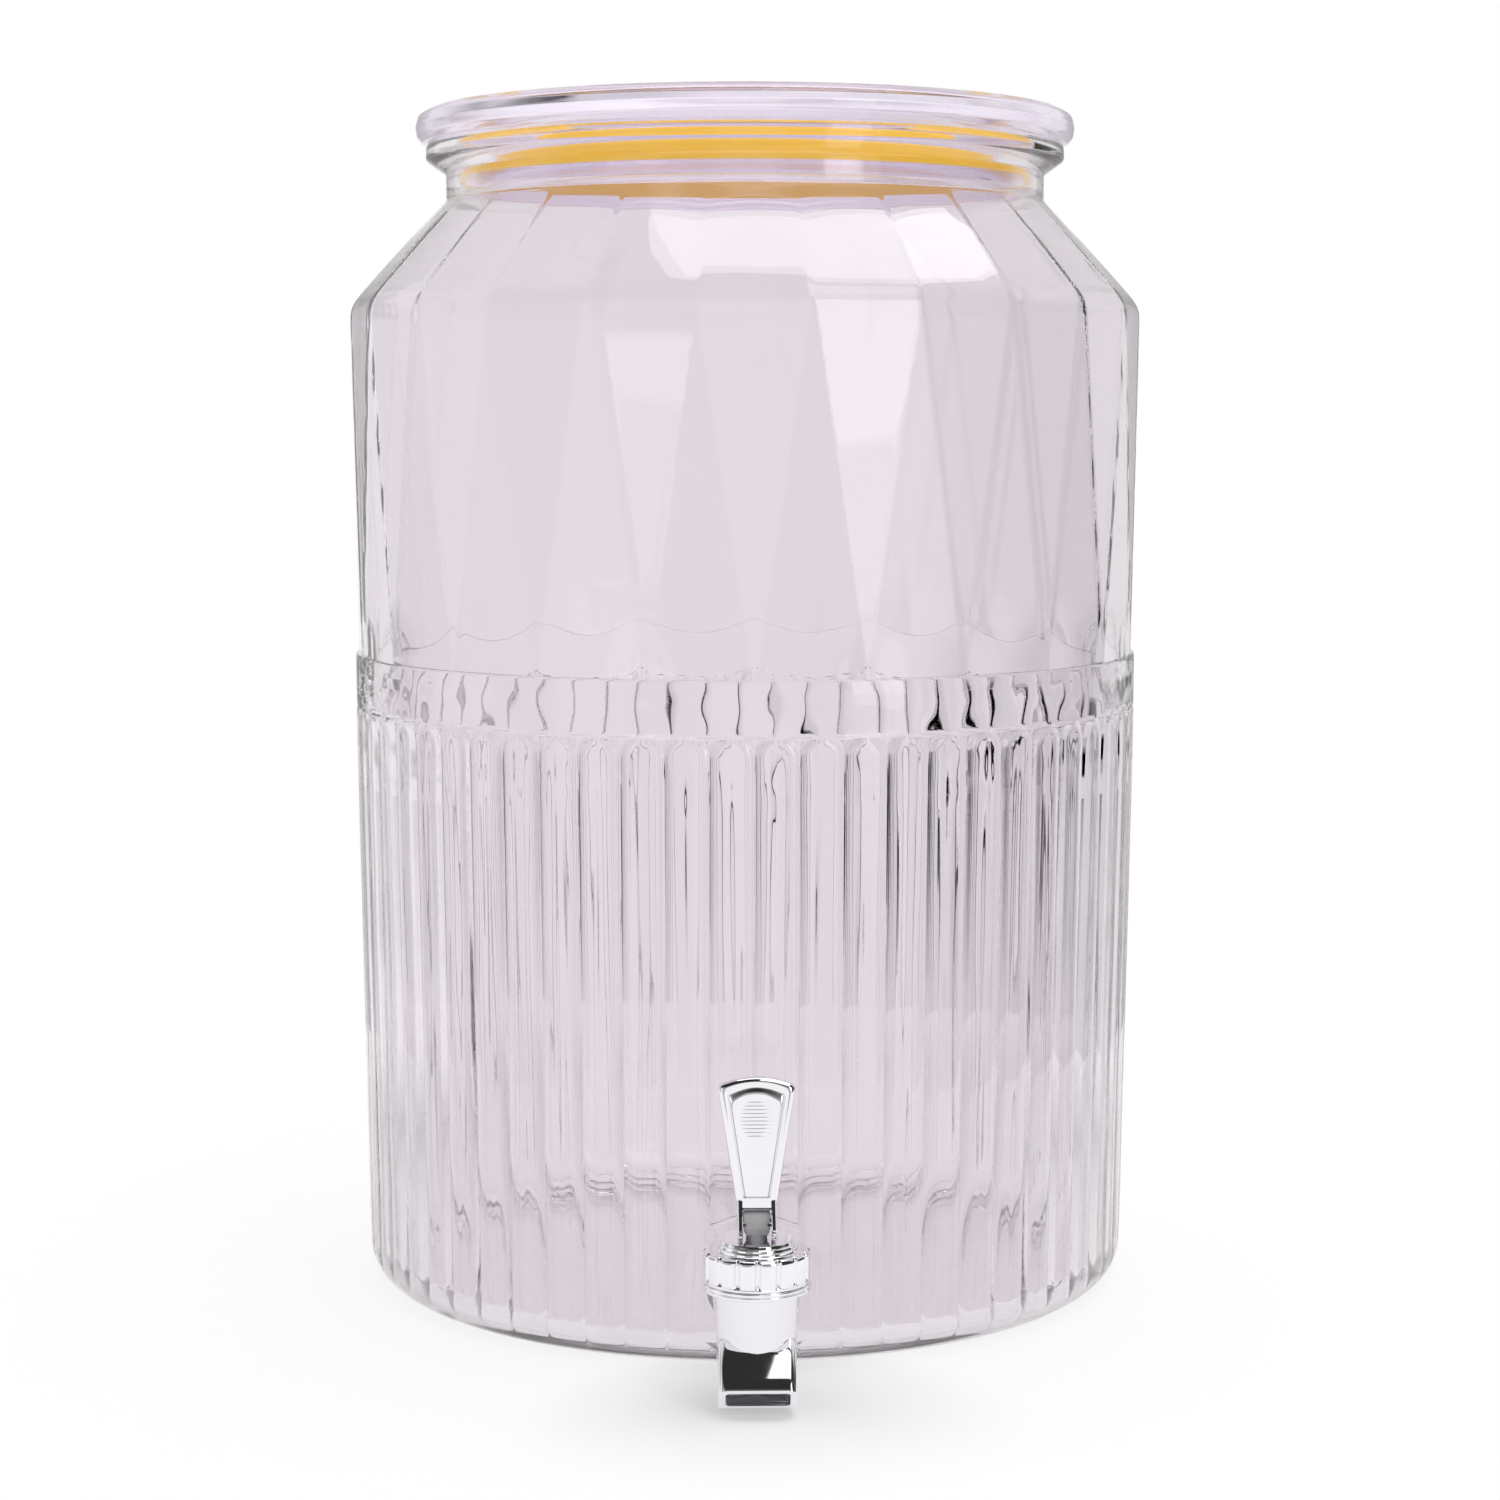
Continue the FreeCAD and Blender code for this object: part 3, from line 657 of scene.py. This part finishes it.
# %% Seal with two soft lips
seal_outline = rounded([
    (81.65, 326.85, 0.2), (83.6, 326.85, 0.4), (84.65, 328.6, 0.9), (84.0, 330.8, 1.2),
    (84.65, 333.0, 0.9), (83.6, 334.75, 0.4), (81.65, 334.75, 0.2)])
seal = turned("seal", seal_outline, seal_silicone, segments=256)
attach(seal, "lid")
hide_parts("lid_seal")
print("seal", len(seal.data.polygons), "faces")

# %% [markdown]
# ## Tap body
# Barrel, spout and shank are one chrome-plated moulding. Barrel and shank are turned, the spout is a skin
# through side profiles that draw in towards its edges, and booleans join them and open the mouth. A fine
# seam on the barrel shows where the mould closed. The shank's thread is drawn as a plain cylinder.

# %% Barrel
reach_to_barrel = 24.9
barrel_y = pad_face - reach_to_barrel
barrel_place = (0, barrel_y * MM)
barrel_outline = rounded([
    (0, 10, 0), (10.4, 10, 0.6), (11.7, 30.2, 0.25), (14.4, 30.2, 0.35), (14.4, 31.1, 0.2),
    (14.0, 31.3, 0.1), (14.4, 31.5, 0.2), (14.4, 32.3, 0.3), (12.2, 32.3, 0), (12.2, 37.6, 0.4),
    (9.2, 37.6, 0.3), (9.2, 16.5, 0.3), (0, 16.5, 0)])
tap = turned("tap", barrel_outline, tap_chrome, barrel_place, segments=160)
print("barrel at y", round(barrel_y, 2), "mm")

# %% Spout and seam
spout_half, spout_edge = 10.2, 2.2
brow, lip, spout_foot, heel = (-7.0, 18.6), (-16.5, 7.4), (-13.2, 1.9), (6.0, 10.0)
bulge, lip_round, foot_round = -1.1, 0.35, 0.5
seam_half, seam_proud, seam_root = 0.2, 0.16, -1.0


def bowed(start, end, depth, steps=14):
    """Points of a curve between two (y, z) points that is hollow by a depth, or swells if it is negative."""
    start, end = Vector(start), Vector(end)
    run = end - start
    inward = Vector((-run.y, run.x)).normalized()
    points = []
    for k in range(steps + 1):
        share = k / steps
        points.append(start + run * share + inward * depth * 4 * share * (1 - share))
    return points


def spout_layer(across, drawn_in):
    """Side profile of the spout, its front and mouth drawn in near the sides."""
    front = bowed(brow, lip, bulge)
    slope = (Vector(lip) - Vector(brow)).normalized()
    back = Vector((-slope.y, slope.x))
    profile = [point + back * drawn_in for point in front[:-1]]
    last, tip = ((y + back.x * drawn_in, z + back.y * drawn_in) for y, z in (front[-2], lip))
    profile += rounded([(*last, 0), (*tip, lip_round), (*spout_foot, foot_round), (*heel, 0),
                        (heel[0], brow[1], 0)])[1:]
    return [(across, barrel_y + y, z) for y, z in profile]


def spout_layers():
    angles = [math.radians(angle) for angle in range(0, 91, 10)]
    edge = [spout_half - spout_edge * (1 - math.cos(angle)) for angle in angles]
    drawn = [spout_edge * (1 - math.sin(angle)) for angle in angles]
    right = [spout_layer(x, drawn_in) for x, drawn_in in zip(edge, drawn)]
    left = [spout_layer(-x, drawn_in) for x, drawn_in in zip(edge, drawn)]
    return left + right[::-1]


def seam_layer(edge, height):
    """Section of the seam on the barrel's front, where the barrel's radius is the edge."""
    corners = ((-1, seam_root), (-0.6, seam_proud), (0.6, seam_proud), (1, seam_root))
    return [(side * seam_half, barrel_y - edge - out, height) for side, out in corners]


spout = layered("spout", spout_layers(), tap_chrome)
seam_layers = [seam_layer(edge=10.55, height=12.0), seam_layer(edge=11.68, height=30.0)]
seam = layered("seam", seam_layers, tap_chrome)
print("spout", len(spout.data.polygons), "faces")

# %% Chute through the mouth
lip_wall, side_wall = 0.9, 1.8
chute_half, chute_roof, chute_floor, chute_scoop = 6.0, 14.5, 11.8, 1.5
past_mouth = 3
slot_round, slot_taper = 1.2, 0.28
along_mouth = (Vector(spout_foot) - Vector(lip)).normalized()
out_of_mouth = Vector((along_mouth.y, -along_mouth.x)) * past_mouth
upper = Vector(lip) + along_mouth * lip_wall
lower = Vector(spout_foot) - along_mouth * lip_wall
chute_side = bowed((-chute_half, chute_roof), upper, chute_scoop)
chute_side += [upper + out_of_mouth, lower + out_of_mouth, lower, Vector((chute_half, chute_floor)),
               Vector((chute_half, chute_roof))]


def chute_layer(across, shrink):
    """Side profile of the chute, drawn towards the middle of the mouth near its rounded sides."""
    middle = (upper + lower) / 2
    slot = []
    for point in chute_side:
        towards = (middle - point).dot(along_mouth)
        slot.append(point + along_mouth * towards * shrink)
    return [(across, barrel_y + y, z) for y, z in slot]


half_slot = spout_half - side_wall
chute_layers = []
for side in (-1, 1):
    ends = []
    for angle in (0, 30, 60, 90):
        across = half_slot - slot_round * (1 - math.sin(math.radians(angle)))
        ends.append((side * across, slot_taper * (1 - math.cos(math.radians(angle)))))
    ends = ends[::-1] if side < 0 else ends
    chute_layers += [chute_layer(*end) for end in ends]
chute = layered("chute", chute_layers, tap_chrome)
drain_outline = [(0, 13.5), (6, 13.5), (6, 17), (0, 17)]
drain = turned("drain", drain_outline, tap_chrome, barrel_place, segments=64)
print("chute ready")

# %% Shank, flange and pipe
outer_washer_thickness, shank_past_pad = 1.5, 9.0
flange_y = pad_face - outer_washer_thickness
shank_end = pad_back + shank_past_pad
inlet_radius, past_shank = 5.0, 5


def inlet_turned(name, outline, material, segments=96):
    """Turned piece on the inlet axis; the outline is (radius, y) in millimetres."""
    piece = turned(name, outline, material, segments=segments)
    stand = Matrix.Translation(Vector((0, 0, tap_level)) * MM) @ Matrix.Rotation(-math.pi / 2, 4, "X")
    piece.data.transform(stand)
    return piece


shank_outline = [(0, barrel_y + 2), (7.5, barrel_y + 2), (7.5, flange_y - 2.9), (7.9, flange_y - 2.5)]
shank_outline += [(10.4, flange_y - 2.5), (10.8, flange_y - 2.1), (10.8, flange_y - 0.3), (10.5, flange_y)]
shank_outline += [(8.0, flange_y), (8.0, shank_end - 0.5), (7.5, shank_end), (0, shank_end)]
shank = inlet_turned("shank", shank_outline, tap_chrome)
inlet = inlet_rod("inlet", inlet_radius, barrel_y, shank_end + past_shank, tap_chrome, segments=64)
combined(tap, [spout, shank, seam], "UNION")
combined(tap, [drain, chute, inlet], "DIFFERENCE")
shaded(tap, degrees=30)
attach(tap, "jar")
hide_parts("tap_body")
print("tap", len(tap.data.polygons), "faces")

# %% [markdown]
# ## Bonnet
# The screwed cap of the tap has broad grip lobes with narrow grooves between them and a stepped boss. The
# grooves repeat by a rule, so the cap is a second grid in Geometry Nodes: a turned profile whose rows say
# how deep the grooves are.

# %% Rows of the bonnet: radius, height, depth of the grooves
bonnet_rows = [
    (2.85, 38.65, 0), (12.25, 38.65, 0), (12.25, 32.35, 0), (13.9, 32.35, 0), (14.1, 32.5, 0),
    (14.15, 32.7, 0), (14.15, 33.1, 0), (14.05, 33.2, 0.0), (14.05, 33.35, 0.3), (14.12, 33.6, 0.85),
    (14.12, 34.2, 1), (14.12, 37, 1), (14.12, 39.5, 1), (14.08, 39.9, 1), (13.9, 40.3, 1),
    (13.6, 40.6, 0.9), (13.25, 40.76, 0.6), (12.9, 40.8, 0.2), (12.5, 40.8, 0), (11.6, 40.75, 0),
    (11.1, 40.8, 0), (10.9, 40.95, 0), (10.85, 41.55, 0), (10.7, 41.7, 0), (10.25, 41.72, 0),
    (10.15, 41.85, 0), (10.1, 42.45, 0), (9.95, 42.6, 0), (9.6, 42.62, 0), (9.5, 42.75, 0),
    (9.45, 43.3, 0), (9.3, 43.47, 0), (9.0, 43.5, 0), (4.2, 43.5, 0), (3.2, 43.5, 0), (2.85, 43.2, 0),
    (2.85, 38.65, 0)]
print(len(bonnet_rows), "rows")

# %% Grow the bonnet
bonnet_sizes = {"Columns": 512, "Lobes": 16, "Groove": 0.75 * MM}
tree, entry = shape_tree("bonnet_rule", bonnet_sizes)
grid, turn, value = grid_place(tree, entry, len(bonnet_rows))
radius = value("radius")
lobe = 2 * math.pi / entry.out("Lobes")
from_groove = (lobe / 2 - abs(turn % lobe - lobe / 2)) * radius
hollow = (entry.out("Groove") ** 2 - from_groove * from_groove).maths("MAXIMUM", 0.0) ** 0.5
cap = placed(tree, grid, turn, radius - hollow * value("groove"), value("height"), barrel_place)
closed(tree, cap, tap_chrome)
bonnet_fields = [("radius", MM), ("height", MM), ("groove", 1)]
bonnet = grow("bonnet", row_points("bonnet_rows", bonnet_fields, bonnet_rows), tree, bonnet_sizes)
shaded(bonnet, degrees=40)
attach(bonnet, "jar")
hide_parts("tap_bonnet")

# %% [markdown]
# ## Lever
# The lever is a paddle with a raised frame, a groove that slopes up to its panel under an arched top, ten
# fine grip ridges and a fork that straddles the stem. It could be cut from a block, but a skin through
# insets of one outline rounds every edge; the ridges repeat, so nodes place them.

# %% Paddle
pin_level = 47.7
half_thick, edge_round, panel_depth = 1.9, 1.4, 0.3
paddle_foot, paddle_top, arch_rise, arch_steps = 3.3, 38.8, 2.2, 12
foot_half, top_half, foot_corner_round = 5.15, 10.15, 0.3
bar_height, groove_edge, panel_corner, panel_foot_share = 3.6, 2.2, 1.1, 0.6


def paddle_outline(inset, foot, corner, drop):
    """Arched trapezoid in (x, z) about the pin, drawn in by an inset and lowered at its top by a drop."""
    shoulder = paddle_top - arch_rise
    flare = (top_half - foot_half) / (shoulder - paddle_foot)
    top = shoulder - inset - drop
    low = foot_half + flare * (foot - paddle_foot) - inset
    high = foot_half + flare * (top - paddle_foot) - inset
    left = [(-low, foot, foot_corner_round), (-high, top, corner)]
    right = [(high, top, corner), (low, foot, foot_corner_round)]
    arch = []
    for k in range(1, arch_steps):
        share = k / arch_steps * 2 - 1
        arch.append((share * high, top + arch_rise * (1 - share * share), 0))
    return rounded(left + arch + right, steps=6)


def paddle_layer(inset, depth, foot=paddle_foot, corner=1.6, drop=0.0):
    outline = paddle_outline(inset, foot, corner, drop)
    return [(x, barrel_y + depth, pin_level + z) for x, z in outline]


angles = [math.radians(angle) for angle in range(0, 91, 15)]
layers = []
for angle in angles:
    inset = edge_round * (1 - math.sin(angle))
    layers.append(paddle_layer(inset, half_thick - edge_round * (1 - math.cos(angle)), paddle_foot + inset))
for angle in angles:
    inset = edge_round * (1 - math.cos(angle))
    layers.append(paddle_layer(inset, -half_thick + edge_round * (1 - math.sin(angle)), paddle_foot + inset))
panel_foot = paddle_foot + bar_height
for across, depth, drop in (
        (0, 0, 0), (0.06, 0.2, 0), (0.12, 0.7, 0), (0.2, 1.08, 0.02), (0.3, 1.06, 0.1), (0.38, 0.96, 0.3),
        (0.5, 0.66, 0.9), (0.62, 0.38, 1.5), (0.74, 0.31, 1.8), (0.95, panel_depth, 2.0)):
    layers.append(paddle_layer(groove_edge + across, -half_thick + depth,
                               panel_foot + across * panel_foot_share, panel_corner, drop))
lever = layered("lever", layers, tap_chrome)
print("paddle", len(lever.data.polygons), "faces")

# %% Grip ridges
grip_count, grip_pitch, grip_radius, grip_length, grip_drop = 10, 1.0, 0.14, 9.4, 6.5
ridge_sides = 12
grip_sizes = {"Ridges": grip_count, "Pitch": grip_pitch * MM, "Radius": grip_radius * MM,
              "Length": grip_length * MM}
grip_start = Vector((0, barrel_y - half_thick + panel_depth, pin_level + paddle_top - grip_drop)) * MM
tree, entry = shape_tree("grip_rule", grip_sizes)
downwards = tree.add("ShaderNodeCombineXYZ", {}, {"Z": entry.out("Pitch") * -1})
line = tree.add("GeometryNodeMeshLine", {}, {"Count": entry.out("Ridges"), "Start Location": grip_start,
                                             "Offset": downwards})
middle = (entry.out("Ridges") - 1) / 2
share = (tree.add("GeometryNodeInputIndex") - middle) / (middle + 1)
length = entry.out("Length") * (1 - share * share) ** 0.5
ridge = tree.add("GeometryNodeMeshUVSphere", {}, {"Segments": ridge_sides, "Rings": ridge_sides,
                                                  "Radius": 1.0})
size = tree.add("ShaderNodeCombineXYZ", {}, {"X": length / 2, "Y": entry.out("Radius"),
                                             "Z": entry.out("Radius")})
ridges = tree.add("GeometryNodeInstanceOnPoints", {}, {"Points": line, "Instance": ridge, "Scale": size})
closed(tree, ridges, tap_chrome)
grip = grow("grip", bpy.data.meshes.new("grip"), tree, grip_sizes)

# %% Fork legs with their cam heels
leg_inner, leg_thick, leg_clear, leg_top, leg_inset = 3.75, 1.4, 0.02, 6.6, 0.3
heel_clear, heel_back, toe_length = 4.1, 3.0, 1.2
cam_lift, cam_open, cam_step = 3.3, 60, 10


def heel_point(degrees):
    """Cam curve of the heel: it lifts the pin evenly as the lever tilts."""
    tilt = math.radians(degrees)
    reach = heel_clear + cam_lift * tilt
    return (-reach * math.sin(tilt) - cam_lift * math.cos(tilt),
            -reach * math.cos(tilt) + cam_lift * math.sin(tilt))


def fork_leg(side):
    """One leg of the fork, its edges eased; side is -1 or 1."""
    stop = math.radians(cam_open)
    toe_tip = Vector(heel_point(cam_open)) + Vector((-math.cos(stop), math.sin(stop))) * toe_length
    profile = [(heel_back, -heel_clear)]
    profile += [heel_point(degrees) for degrees in range(0, cam_open + 1, cam_step)]
    profile += [tuple(toe_tip), (-half_thick + leg_inset, leg_top), (half_thick - leg_inset, leg_top)]
    start, end = leg_inner, leg_inner + leg_thick - leg_clear
    layers = []
    for x, shrink in ((start, 0.03), (start + 0.2, 0.0), (end - 0.35, 0.0), (end - 0.1, 0.03), (end, 0.08)):
        kept = 1 - shrink
        layers.append([(side * x, barrel_y + y * kept, pin_level + z * kept) for y, z in profile])
    return layered("leg", layers, tap_chrome)


combined(lever, [fork_leg(-1), fork_leg(1), grip], "UNION")
shaded(lever, degrees=30)
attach(lever, "lever")
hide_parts("tap_lever")
print("lever", len(lever.data.polygons), "faces")

# %% [markdown]
# ## Valve stem
# The grey stem rises through the boss. Its head carries the pin between the fork legs, and it is waisted
# where the mould closes. The rod is turned and the head is a skin through rounded layers.

# %% Stem
head_corner = 0.5
stem_outline = rounded([
    (0, 18.35, 0), (2.72, 18.35, 0.2), (2.72, 22.95, 0), (6.0, 22.95, 0.2), (6.0, 24.45, 0.3),
    (2.72, 24.45, 0.2), (2.72, 45.4, 0), (0, 45.4, 0)])
stem = turned("stem", stem_outline, stem_grey, barrel_place, segments=64)


def head_layer(height, half_width, half_depth):
    corners = [(-half_width, -half_depth, head_corner), (half_width, -half_depth, head_corner),
               (half_width, half_depth, head_corner), (-half_width, half_depth, head_corner)]
    outline = rounded(corners, steps=4)
    return [(x, barrel_y + y, pin_level + height) for x, y in outline]


head_levels = ((-3.0, 2.6, 2.5), (-2.8, 2.9, 2.7), (-1.9, 3.3, 2.9), (-1.0, 3.5, 3.0), (-0.7, 3.5, 3.0),
               (-0.35, 2.95, 2.95), (0.25, 2.9, 2.95), (0.6, 3.5, 2.9), (1.6, 3.6, 2.55), (2.3, 3.6, 1.95),
               (2.75, 3.5, 1.2), (2.95, 3.2, 0.7))
head = layered("head", [head_layer(*level) for level in head_levels], stem_grey)
combined(stem, [head], "UNION")
shaded(stem, degrees=30)
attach(stem, "stem")
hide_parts("valve_stem")
print("stem", len(stem.data.polygons), "faces")

# %% [markdown]
# ## Return spring
# The spring closes the tap, and the stem presses it together when the lever tilts. Its coil is right as
# packed, so a merged copy is used.

# %% Spring
coil = bmesh.new()
coil.from_mesh(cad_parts["return_spring"].data)
spring = from_form("spring", coil, spring_steel)
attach(spring, "jar")
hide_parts("return_spring")
barrel_y * MM
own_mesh(spring)

# %% [markdown]
# ## Pieces that stay as they were packed
# Washers, nut, plug, gasket and pin are right as CAD shapes, so they only get a finish.

# %% Finishes of the carried-over pieces
carried = {"lock_nut": nut_pale, "seat_plug": milky_silicone, "bonnet_gasket": milky_silicone,
           "outer_washer": milky_silicone, "inner_washer": milky_silicone, "lever_pin": spring_steel}
for name, material in carried.items():
    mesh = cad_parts[name].data
    mesh.materials.clear()
    mesh.materials.append(material)
print("carried over:", ", ".join(carried))

# %% [markdown]
# ## Floor and lights
# The photograph is a plain white studio picture. A white plane could be lit until it clips, but the jar
# would clip with it. So the floor is matte near the jar, where it keeps the shadow, and turns to plain
# white away from it. Four soft boxes light the object at a plain level: two overhead and two on the front
# right.

# %% Floor
FLOOR_RADIUS, FLOOR_SIDES, floor_drop = 0.42, 96, 0.3 * MM
floor_mesh = bpy.data.meshes.new("floor")
form = bmesh.new()
bmesh.ops.create_circle(form, cap_ends=True, segments=FLOOR_SIDES, radius=FLOOR_RADIUS)
bmesh.ops.translate(form, verts=form.verts, vec=(0, 0, -floor_drop))
form.to_mesh(floor_mesh)
form.free()
floor_material = bpy.data.materials.new("pale_floor")
floor = add_object("floor", floor_mesh, floor_material)
print("floor", 2 * FLOOR_RADIUS, "m across")

# %% Finish of the floor
tap_shadow = (0.005, -0.162, 0)
painted_side_shade, tap_dimming = 0.35, 0.75
mirrored_white, clear_white, seen_white = 0.5, 0.32, 0.35
tree = empty_tree(floor_material)
path = tree.add("ShaderNodeLightPath")
camera_ray, clear = path.out("Is Camera Ray"), path.out("Is Transmission Ray")
spot = tree.add("ShaderNodeTexCoord").out("Object")
away = tree.add("ShaderNodeVectorMath", {"operation": "LENGTH"}, {0: spot}, out="Value")
from_tap = tree.add("ShaderNodeVectorMath", {"operation": "DISTANCE"}, {0: spot, 1: tap_shadow}, out="Value")
aside = abs(tree.add("ShaderNodeSeparateXYZ", {}, {0: spot}).out("X"))
speck = tree.add("ShaderNodeTexNoise", {}, {"Vector": spot, "Scale": 6.0})
tint = mixed(tree, speck, rgb(0.95, 0.94, 0.93), rgb(0.965, 0.96, 0.955))
matte = tree.add("ShaderNodeBsdfDiffuse", {}, {"Color": tint})

# Painted shade: seen through the clear plastic, the floor's white grows darker towards both sides.
side_shade_mask = ramp(aside, 0.07, 0.27) * clear * ramp(FLOOR_RADIUS - away, 0.0, 0.14)
white = tree.add("ShaderNodeEmission", {}, {"Color": rgb(1, 1, 1), "Strength": 1 - painted_side_shade * side_shade_mask})
by_tap = 1 - ramp(from_tap, 0.02, 0.07)
near = mirrored_white + clear_white * clear + camera_ray * (seen_white - tap_dimming * by_tap)
seen = camera_ray.maths("MAXIMUM", path.out("Is Glossy Ray"))
lift = seen * between(near, 1.0, ramp(away, 0.19, 0.30))
surface = tree.add("ShaderNodeMixShader", {}, {0: lift, 1: matte, 2: white})
tree.add("ShaderNodeOutputMaterial", {}, {"Surface": surface})
print("floor finish ready")

# %% Lights
def soft_box(name, place, target, size, radiance):
    """Area light at a place, facing a target, of a given brightness as seen in a mirror."""
    data = bpy.data.lights.new(name, "AREA")
    data.shape = "RECTANGLE"
    data.size, data.size_y = size
    data.energy = radiance * math.pi * size[0] * size[1]
    lamp = bpy.data.objects.new(name, data)
    lamp.location = place
    lamp.rotation_euler = (Vector(target) - Vector(place)).to_track_quat("-Z", "Y").to_euler()
    lamp.visible_camera = False
    scene.collection.objects.link(lamp)


soft_box("ceiling_box", place=(0.2, 0.04, 1.25), target=(0.2, 0.04, 0), size=(1.02, 0.52), radiance=2.3)
soft_box("front_right_box", place=(0.95, -1.35, 0.64), target=(0, 0, 0.64), size=(0.42, 0.76), radiance=2.1)
soft_box("low_right_box", place=(0.95, -1.35, 0.16), target=(0, 0, 0.16), size=(0.42, 0.2), radiance=1.1)
soft_box("front_ceiling_box", place=(0.53, -0.92, 1.35), target=(0.53, -0.8, 0), size=(0.84, 1.15),
         radiance=1.3)
print("soft boxes ready")

# %% [markdown]
# ## World
# A clear object needs something dark to refract and reflect. A studio uses black cards, which would show
# in other views. Here the world is white for the camera, while rays that bounce see other things: mirrored
# rays see wall panels with grey gaps, a dark right side and a dark ceiling in front, and rays through the
# plastic see a dark post and a fainter one low behind the jar.

# %% Directions of the world
SOFT_EDGE = 0.04
world = bpy.data.worlds.new("studio")
scene.world = world
tree = empty_tree(world)
direction = tree.add("ShaderNodeSeparateXYZ", {}, {0: tree.add("ShaderNodeTexCoord").out("Generated")})
up, side, back = direction.out("Z"), direction.out("X"), direction.out("Y")
bearing = side.maths("ARCTAN2", back)
overhead = ramp(up, 0.22, 0.5)


def stretch(centre, half):
    """1 within an angle of a bearing, both in degrees from straight behind the jar, with a soft edge."""
    return ramp(math.radians(half) - abs(bearing - math.radians(centre)), 0.0, SOFT_EDGE)


print("directions ready")

# %% What mirrors see
PANELS = 8
gap_level, right_darkness = 0.42, 0.9
front_ceiling, back_ceiling = 0.03, 0.78
panel = ramp((bearing * PANELS).maths("COSINE"), -0.5, 0.35)
walls = between(gap_level, 1.0, panel) * (1 - right_darkness * stretch(95, 36))
ceiling = between(front_ceiling, back_ceiling, ramp(back, -0.1, 0.15))
mirrored = between(walls, ceiling, overhead)
print(PANELS, "wall panels")

# %% What clear walls show
left_post, right_dimness, clear_ceiling = 0.35, 0.2, 0.9
low_band = ramp(up, -0.19, -0.15) * ramp(up * -1, 0.07, 0.09)
posts = stretch(35, 15.5) + left_post * stretch(-42, 16)
right_back = ramp(bearing, 0.07, 0.2) * ramp(bearing * -1, -1.8, -1.2)
through = between(1 - low_band * posts - right_dimness * right_back, clear_ceiling, overhead)
print("two posts behind the jar")

# %% World
fill_low, fill_rise, diagonal = 0.6, 0.8, 0.7
path = tree.add("ShaderNodeLightPath")
glossy, clear = path.out("Is Glossy Ray"), path.out("Is Transmission Ray")
fill = fill_low + fill_rise * ramp((up + back) * diagonal, 0.4, 1.0)
bounced = fill + glossy * (1 - clear) * (mirrored - fill) + clear * (through - fill)
level = between(bounced, 1.0, path.out("Is Camera Ray"))
background = tree.add("ShaderNodeBackground", {}, {"Color": rgb(1, 1, 1), "Strength": level})
tree.add("ShaderNodeOutputWorld", {}, {"Surface": background})
print("world ready")

# %% [markdown]
# ## Render settings
# The render is plain: no tone curve, enough light bounces for several clear walls behind each other.

# %% Render settings
scene.view_settings.view_transform = "Standard"
scene.cycles.max_bounces = 48
scene.cycles.transmission_bounces = 32
scene.cycles.glossy_bounces = 32
scene.cycles.use_denoising = True
